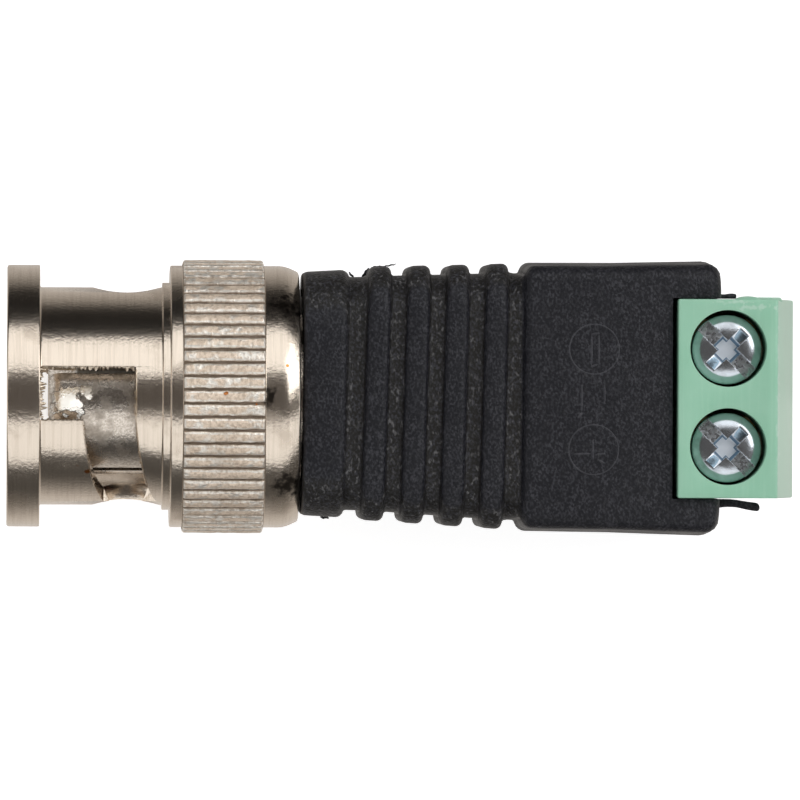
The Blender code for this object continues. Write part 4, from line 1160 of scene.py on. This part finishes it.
flash = {
    # Thin wisps of flash at the parting line: (start, end) in distance and side offset, width, thickness.
    "spur": ((17.86, 6.5), (18.1, 6.22), 0.12, 0.12),
    "fin": ((18.56, 6.3), (18.84, 6.7), 0.15, 0.12),
    "root": ((19.05, 6.79), (19.7, 6.82), 0.13, 0.12),
    "hair": ((19.66, 6.83), (20.3, 6.96), 0.075, 0.07),
    "blob": ((15.38, 5.3), (15.42, 5.65), 0.14, 0.16),
    "lump": ((16.45, -6.29), (16.8, -6.3), 0.14, 0.16),
}


def buildFlash():
    for name, (start, end, width, thickness) in flash.items():
        wisp = ridge(start, end, width / 2, thickness / 2, waviness=0.02)
        item = newObject(f"flash{name.capitalize()}", wisp)
        place(item, blockSpace, moulding, "adapter_body", "black_moulding")


poleMarks = {
    "top": 6.2,
    "rise": 0.06,
    "ridge": 0.07,
    # circles: distance, side offset, radius
    "circles": ((30.38, 2.53, 1.29), (30.36, -2.67, 1.29)),
    # ridges: from and to, in distance and side offset
    "ridges": (
        ((30.24, 1.62), (30.24, 3.3)),
        ((30.62, 1.66), (30.62, 3.36)),
        ((30.24, 3.3), (30.62, 3.36)),
        ((30.24, 1.62), (30.52, 1.75)),
        ((30.33, -3.2), (30.33, -2.12)),
        ((29.35, -2.9), (30.2, -2.88)),
        ((30.5, -2.92), (30.95, -2.86)),
        ((30.6, -3.2), (30.9, -3.35)),
        ((29.74, -0.78), (29.74, 0.75)),
        ((29.74, -0.78), (29.58, -0.98)),
        ((30.92, -0.3), (30.92, 0.7)),
    ),
}


def buildPoleMarks():
    # Faint moulded signs on the block: a minus and a plus, each in a ring, and two strokes between them.
    half = poleMarks["ridge"]
    rise = poleMarks["rise"]
    shape = bmesh.new()
    for x, y, radius in poleMarks["circles"]:
        inner, outer = radius - half, radius + half
        ring = bmesh.new()
        corners = [(inner, -0.1), (inner, 0), (radius, rise, half * 0.6), (outer, 0), (outer, -0.1)]
        roundedWire(ring, corners, True)
        spin(ring, 72, merge=True)
        move(ring, x, y)
        addTo(shape, ring)
    for start, end in poleMarks["ridges"]:
        addTo(shape, ridge(start, end, half, rise))
    move(shape, z=poleMarks["top"])
    item = newSolid("poleMarks", shape)
    # The marks take the moulding that is painted lighter, a painted highlight.
    return place(item, blockSpace, markHighlightMoulding, "adapter_body", "black_moulding")


# The terminal housing's sizes come before the moulding is built, because its pocket follows their width.
housing = {
    "halfWidth": 5.15,
    "top": 6.77,
    "base": -3.23,
    "back": 34.7,
    "topFront": 39.86,
    "front": 41.0,
    "wellRadius": 1.99,
    "wellOffset": (0.04, 0.06),
    "chamberReach": (1.85, 2.0),
    "entryHalfWidth": 1.45,
    "entryHeights": (-2.4, 0.95),
    "entryFlare": 0.7,
    "polePosition": 37.27,
    "poleSides": (-2.54, 2.54),
    # small bulges on the far edge (middle, reach), and the place where its corner is worn off
    "lumps": (
        ((38.35, 4.98, 5.9), (0.85, 0.34, 0.7)),
        ((39.2, 4.95, 5.9), (0.8, 0.27, 0.6)),
    ),
    "chip": (39.9, 5.08, 6.4),
    "chipTurn": math.radians(-14),
}

buildBody()
buildLips()
buildFlash()
buildPoleMarks()
print("moulding ready")


# Terminal housing and screws

def poleCutters(i, side):
    # The screw's well, the clamp's chamber, the wire entry and its flared mouth.
    size = housing
    x = size["polePosition"]
    wellX, wellY = size["wellOffset"]
    reachX, reachY = size["chamberReach"]
    half = size["entryHalfWidth"]
    low, high = size["entryHeights"]
    lie = Matrix.Translation((x + wellX, side + wellY, 0))
    mouth = bmesh.new()
    bmesh.ops.create_cube(mouth, size=2)
    for vert in mouth.verts:
        flare = size["entryFlare"] if vert.co.x > 0 else 0
        vert.co.y = side + vert.co.y * (half + flare)
        vert.co.z = (low + high) / 2 + vert.co.z * ((high - low) / 2 + flare)
        vert.co.x = size["front"] + vert.co.x * 0.35
    return [
        drum(f"well{i}", size["wellRadius"], 0, 8, lie),
        block(f"chamber{i}", (x - reachX, side - reachY, -4.2), (x + reachX, side + reachY, 1.92)),
        block(f"entry{i}", (x, side - half, low), (42, side + half, high)),
        newObject(f"mouth{i}", mouth),
    ]


def buildHousing():
    size = housing
    base, top = size["base"], size["top"]
    corners = [
        (size["back"], top, 0.1), (size["back"], 2.0), (33.6, 0.5), (33.6, base, 0.1),
        (size["front"], base, 0.12), (size["front"], 1.6, 0.3), (size["topFront"], top, 0.15),
    ]
    item = slab("terminalHousing", corners, -size["halfWidth"], size["halfWidth"])
    softenEdges(item, lambda e: abs(e.verts[0].co.y) > 5, 0.1, 3)
    carve(item, block("sideBulge", (38.15, 4.6, -1.7), (40.4, 5.3, 1.6), 0.12), operation="UNION")
    lumps = []
    for i, (middle, reach) in enumerate(size["lumps"]):
        lump = ball(reach)
        move(lump, *middle)
        lumps.append(newObject(f"lump{i}", lump))
    carve(item, *lumps, operation="UNION")
    chip = block("chip", (-0.7, 0, -1), (0.7, 1, 1.2), turn=Matrix.Rotation(size["chipTurn"], 3, "Z"))
    chip.data.transform(Matrix.Translation(size["chip"]))
    carve(item, chip)
    carve(item, *[cutter for i, side in enumerate(size["poleSides"]) for cutter in poleCutters(i, side)])

    def atOpening(edge):
        middle = edgeMiddle(edge)
        return middle.z > 6.7 or middle.x > 40.6

    softenEdges(item, atOpening, 0.05)
    return place(item, blockSpace, green, "adapter_body", "green_moulding", "terminal_housing")


screw = {
    "steps": 112,
    "headRadius": 1.8,
    "headTop": 6.22,
    "headBase": 4.52,
    "dome": 0.5,
    "shoulder": 0.75,
    "turn": math.radians(-45),
    "slotWidth": 0.74,
    "slotDepth": 0.5,
    "crossWidth": 0.62,
    "crossReach": 1.22,
    "crossDepth": 0.42,
    # The pit in the middle, where the driver's tip sits: reach and half width at its top and bottom.
    "pitTop": (0.74, 0.4),
    "pitBottom": (0.5, 0.26),
    "pitDepth": 1.0,
    "threadStart": 0.85,
    "threadPitch": 0.5,
    "threadRadius": 1.45,
    "threadDepth": 0.22,
    "threadTurns": 7,
    "stepsPerTurn": 48,
}


def pitArm(name, turn):
    # One arm of the pit: its walls lean in.
    shape = bmesh.new()
    bmesh.ops.create_cube(shape, size=2)
    for vert in shape.verts:
        low = vert.co.z < 0
        reach, half = screw["pitBottom"] if low else screw["pitTop"]
        vert.co.x *= reach
        vert.co.y *= half
        vert.co.z = screw["headTop"] - (screw["pitDepth"] if low else 0.2)
    bmesh.ops.rotate(shape, matrix=turn, verts=shape.verts)
    return newObject(name, shape)


def screwThread(core):
    thread = bmesh.new()
    crest = screw["threadRadius"]
    steps = screw["stepsPerTurn"]
    turns = screw["threadTurns"]
    roundedWire(thread, [(core - 0.05, -0.2), (crest, -0.04), (crest, 0.04), (core - 0.05, 0.2)], True)
    spin(thread, steps * turns, math.tau * turns, rise=screw["threadPitch"] / steps)
    bmesh.ops.holes_fill(thread, edges=thread.edges, sides=4)
    move(thread, z=screw["threadStart"])
    bmesh.ops.recalc_face_normals(thread, faces=thread.faces)
    return thread


def buildScrew(name, side):
    size = screw
    top = size["headTop"]
    base = size["headBase"]
    head = size["headRadius"]
    dome = [
        (head * math.sin(angle) ** size["shoulder"], top - size["dome"] * (1 - math.cos(angle)))
        for angle in (math.radians(a) for a in range(0, 91, 9))
    ]
    core = size["threadRadius"] - size["threadDepth"]
    corners = [
        *dome, (head, base, 0.12), (core, base, 0.1), (core, 0.77), (core - 0.25, 0.47, 0.05), (0, 0.47),
    ]
    item = turned(name, corners, size["steps"])
    slotTurn = Matrix.Rotation(size["turn"], 3, "Z")
    crossTurn = Matrix.Rotation(size["turn"] + math.pi / 2, 3, "Z")
    half = size["slotWidth"] / 2
    crossHalf = size["crossWidth"] / 2
    reach = size["crossReach"]
    low = top - size["crossDepth"]
    carve(
        item,
        block("slot", (-2.2, -half, top - size["slotDepth"]), (2.2, half, top + 1), turn=slotTurn),
        block("cross", (-reach, -crossHalf, low), (reach, crossHalf, top + 1), turn=crossTurn),
        pitArm("pitAlong", slotTurn),
        pitArm("pitAcross", crossTurn),
    )
    softenEdges(item, lambda e: e.verts[0].co.z > 4.8 and e.verts[1].co.z > 4.8, 0.05, 2, 35)
    whole = bmesh.new()
    whole.from_mesh(item.data)
    addTo(whole, screwThread(core))
    move(whole, housing["polePosition"], side)
    whole.to_mesh(item.data)
    whole.free()
    return item


buildHousing()
for pole, side in zip(("plus", "minus"), housing["poleSides"]):
    item = buildScrew(f"terminalScrew{pole.capitalize()}", side)
    place(item, blockSpace, zinc, f"screw_{pole}", "zinc", f"terminal_screw_{pole}")
print("terminal ready")


# Frame nodes that stay as they are get their finish

nodeFinish = {
    "springSteel": ("thrust_washer", "wire_guard_plus", "wire_guard_minus"),
    "plainBrass": ("clamp_frame_plus", "clamp_frame_minus"),
    "tinnedCopper": ("signal_wire", "ground_wire"),
    "redSleeve": ("signal_insulation",),
    "blackSleeve": ("ground_insulation",),
    "dullSolder": ("solder_center", "solder_ground", "solder_plus", "solder_minus"),
}
for finish, names in nodeFinish.items():
    for name in names:
        for slot in nodes[name].material_slots:
            slot.material = basic[finish]


# Studio

studio = {
    "cameraDistance": 0.6,
    "cameraX": -0.0205,
    "viewWidth": 0.04178,
    "sensorWidth": 36,
    "aimX": 0.00004,
    "aimY": -0.00014,
    "roll": math.radians(0.25),
    "boxDistance": 0.5,
    # angle from straight up, width across the axis, radiance, whether reflections show it, and length
    "farBox": (43, 0.368, 1.24, True, 0.9),
    "nearBox": (-41.7, 0.378, 1.08, True, 0.9),
    "topFill": (0, 0.9, 0.17, False, 0.9),
    "endBox": (48, 0.3, 2.6, True, 0.3, math.radians(-62)),  # and how far it is turned to the wire side
    "worldFill": 0.22,
    "floorGlow": 0.62,
    "cardReach": 1.5,
    # The cards that stand for the dark room and the shaded table: from and to, in side offset and height,
    # then (side offset, brightness) in rising order.
    "cards": {
        "overheadCard": ((-0.195, 0.5), (0.2, 0.5), ((0, (0.088, 0.08, 0.075)),)),
        "farWallCard": ((0.3, 0.0), (0.3, 0.16), ((0, 0.01),)),
        "nearWallCard": ((-0.3, 0.0), (-0.3, 0.165), ((0, 0.075),)),
        "farTableCard": (
            (0, 0.0004), (0.3, 0.0004),
            (
                (0, 0.62), (0.0103, 0.57), (0.0158, 0.42), (0.023, 0.25), (0.036, 0.056), (0.06, 0.02),
                (0.3, 0.016),
            ),
        ),
        "nearTableCard": (
            (-0.3, 0.0004), (0, 0.0004),
            (
                (-0.3, 0.08), (-0.12, 0.085), (-0.052, 0.13), (-0.03, 0.25), (-0.02, 0.42), (-0.0136, 0.62),
                (0, 0.8),
            ),
        ),
    },
}


def addCamera():
    distance = studio["cameraDistance"]
    data = bpy.data.cameras.new("camera")
    data.sensor_width = studio["sensorWidth"]
    data.lens = studio["sensorWidth"] * distance / studio["viewWidth"]
    data.clip_start = 0.01
    camera = bpy.data.objects.new("camera", data)
    scene.collection.objects.link(camera)
    stand = Matrix.Translation((studio["cameraX"], studio["aimY"], axisHeight + distance))
    lean = Matrix.Rotation(math.atan2(studio["cameraX"] - studio["aimX"], distance), 4, "Y")
    camera.matrix_world = stand @ lean @ Matrix.Rotation(studio["roll"], 4, "Z")
    scene.camera = camera


def warmGray(value):
    return value if isinstance(value, tuple) else (value, value * 0.95, value * 0.9)


def glowMaterial(name, steps):
    # A card's colour goes by how far to the side it lies.
    material = bpy.data.materials.new(name)
    material.use_nodes = True
    tree = material.node_tree
    tree.nodes.remove(tree.nodes["Principled BSDF"])
    glow = addNode(tree, "Emission")
    feed(tree, tree.nodes["Material Output"].inputs["Surface"], glow.outputs[0])
    feed(tree, glow.inputs["Color"], (*warmGray(steps[0][1]), 1))
    if len(steps) > 1:
        low, high = steps[0][0], steps[-1][0]
        ramp = addNode(tree, "ValToRGB")
        feed(tree, ramp.inputs["Fac"], remap(tree, parts(tree, objectPlace(tree))["Y"], low, high))
        stops = ramp.color_ramp.elements
        for i, (side, value) in enumerate(steps):
            share = (side - low) / (high - low)
            stop = stops[i] if i < 2 else stops.new(share)
            stop.position = share
            stop.color = (*warmGray(value), 1)
        feed(tree, glow.inputs["Color"], ramp.outputs["Color"])
    return material


def addCard(name, corners, steps):
    # A card that only reflections see.
    shape = bmesh.new()
    shape.faces.new([shape.verts.new(corner) for corner in corners])
    card = newObject(name, shape)
    card.data.materials.append(glowMaterial(name, steps))
    card.visible_camera = False
    card.visible_diffuse = False
    card.visible_shadow = False
    card.visible_transmission = False


def addSoftbox(name, angle, width, radiance, glossy, length, heading=0):
    # A soft light above the part, tilted away from straight up about the X axis, then turned.
    data = bpy.data.lights.new(name, "AREA")
    data.shape = "RECTANGLE"
    data.size = length
    data.size_y = width
    data.energy = radiance * math.pi * length * width
    lamp = bpy.data.objects.new(name, data)
    scene.collection.objects.link(lamp)
    tilt = Matrix.Rotation(heading, 4, "Z") @ Matrix.Rotation(-math.radians(angle), 4, "X")
    lamp.matrix_world = tilt @ Matrix.Translation((0, 0, studio["boxDistance"]))
    lamp.visible_glossy = glossy
    lamp.visible_camera = False
    if glossy:
        # Reflections would add the bright world behind the lamp, so a black card closes its back.
        behind = tilt @ Matrix.Translation((0, 0, studio["boxDistance"] + 0.01))
        sides = ((-1, -1), (1, -1), (1, 1), (-1, 1))
        corners = [behind @ Vector((x * length / 2, y * width / 2, 0)) for x, y in sides]
        addCard(f"{name}Back", corners, ((0, 0),))


def seenDirectly(tree):
    # 1 for the camera's rays and those that come by way of a reflection or through glass.
    path = addNode(tree, "LightPath").outputs
    seen = mathNode(tree, "MAXIMUM", path["Is Camera Ray"], path["Is Glossy Ray"])
    return mathNode(tree, "MAXIMUM", seen, path["Is Transmission Ray"])


def addFloor():
    shape = bmesh.new()
    bmesh.ops.create_grid(shape, x_segments=1, y_segments=1, size=3)
    floor = newObject("floor", shape)
    material, tree, surface = newMaterial("paleFloor", (0.9, 0.9, 0.9), 1.0)
    surface["Specular IOR Level"].default_value = 0
    surface["Emission Color"].default_value = (1, 1, 1, 1)
    feed(tree, surface["Emission Strength"], times(tree, seenDirectly(tree), studio["floorGlow"]))
    floor.data.materials.append(material)


def addWorld():
    world = bpy.data.worlds.new("studio")
    scene.world = world
    world.use_nodes = True
    tree = world.node_tree
    back = tree.nodes["Background"].inputs
    back["Color"].default_value = (1, 1, 1, 1)
    feed(tree, back["Strength"], spread(tree, seenDirectly(tree), studio["worldFill"], 1.0))


addCamera()
addFloor()
addWorld()
for name in ("farBox", "nearBox", "topFill", "endBox"):
    addSoftbox(name, *studio[name])
for name, (start, end, steps) in studio["cards"].items():
    reach = studio["cardReach"]
    addCard(name, [(-reach, *start), (reach, *start), (reach, *end), (-reach, *end)], steps)

scene.view_settings.view_transform = "Standard"
print("studio ready")
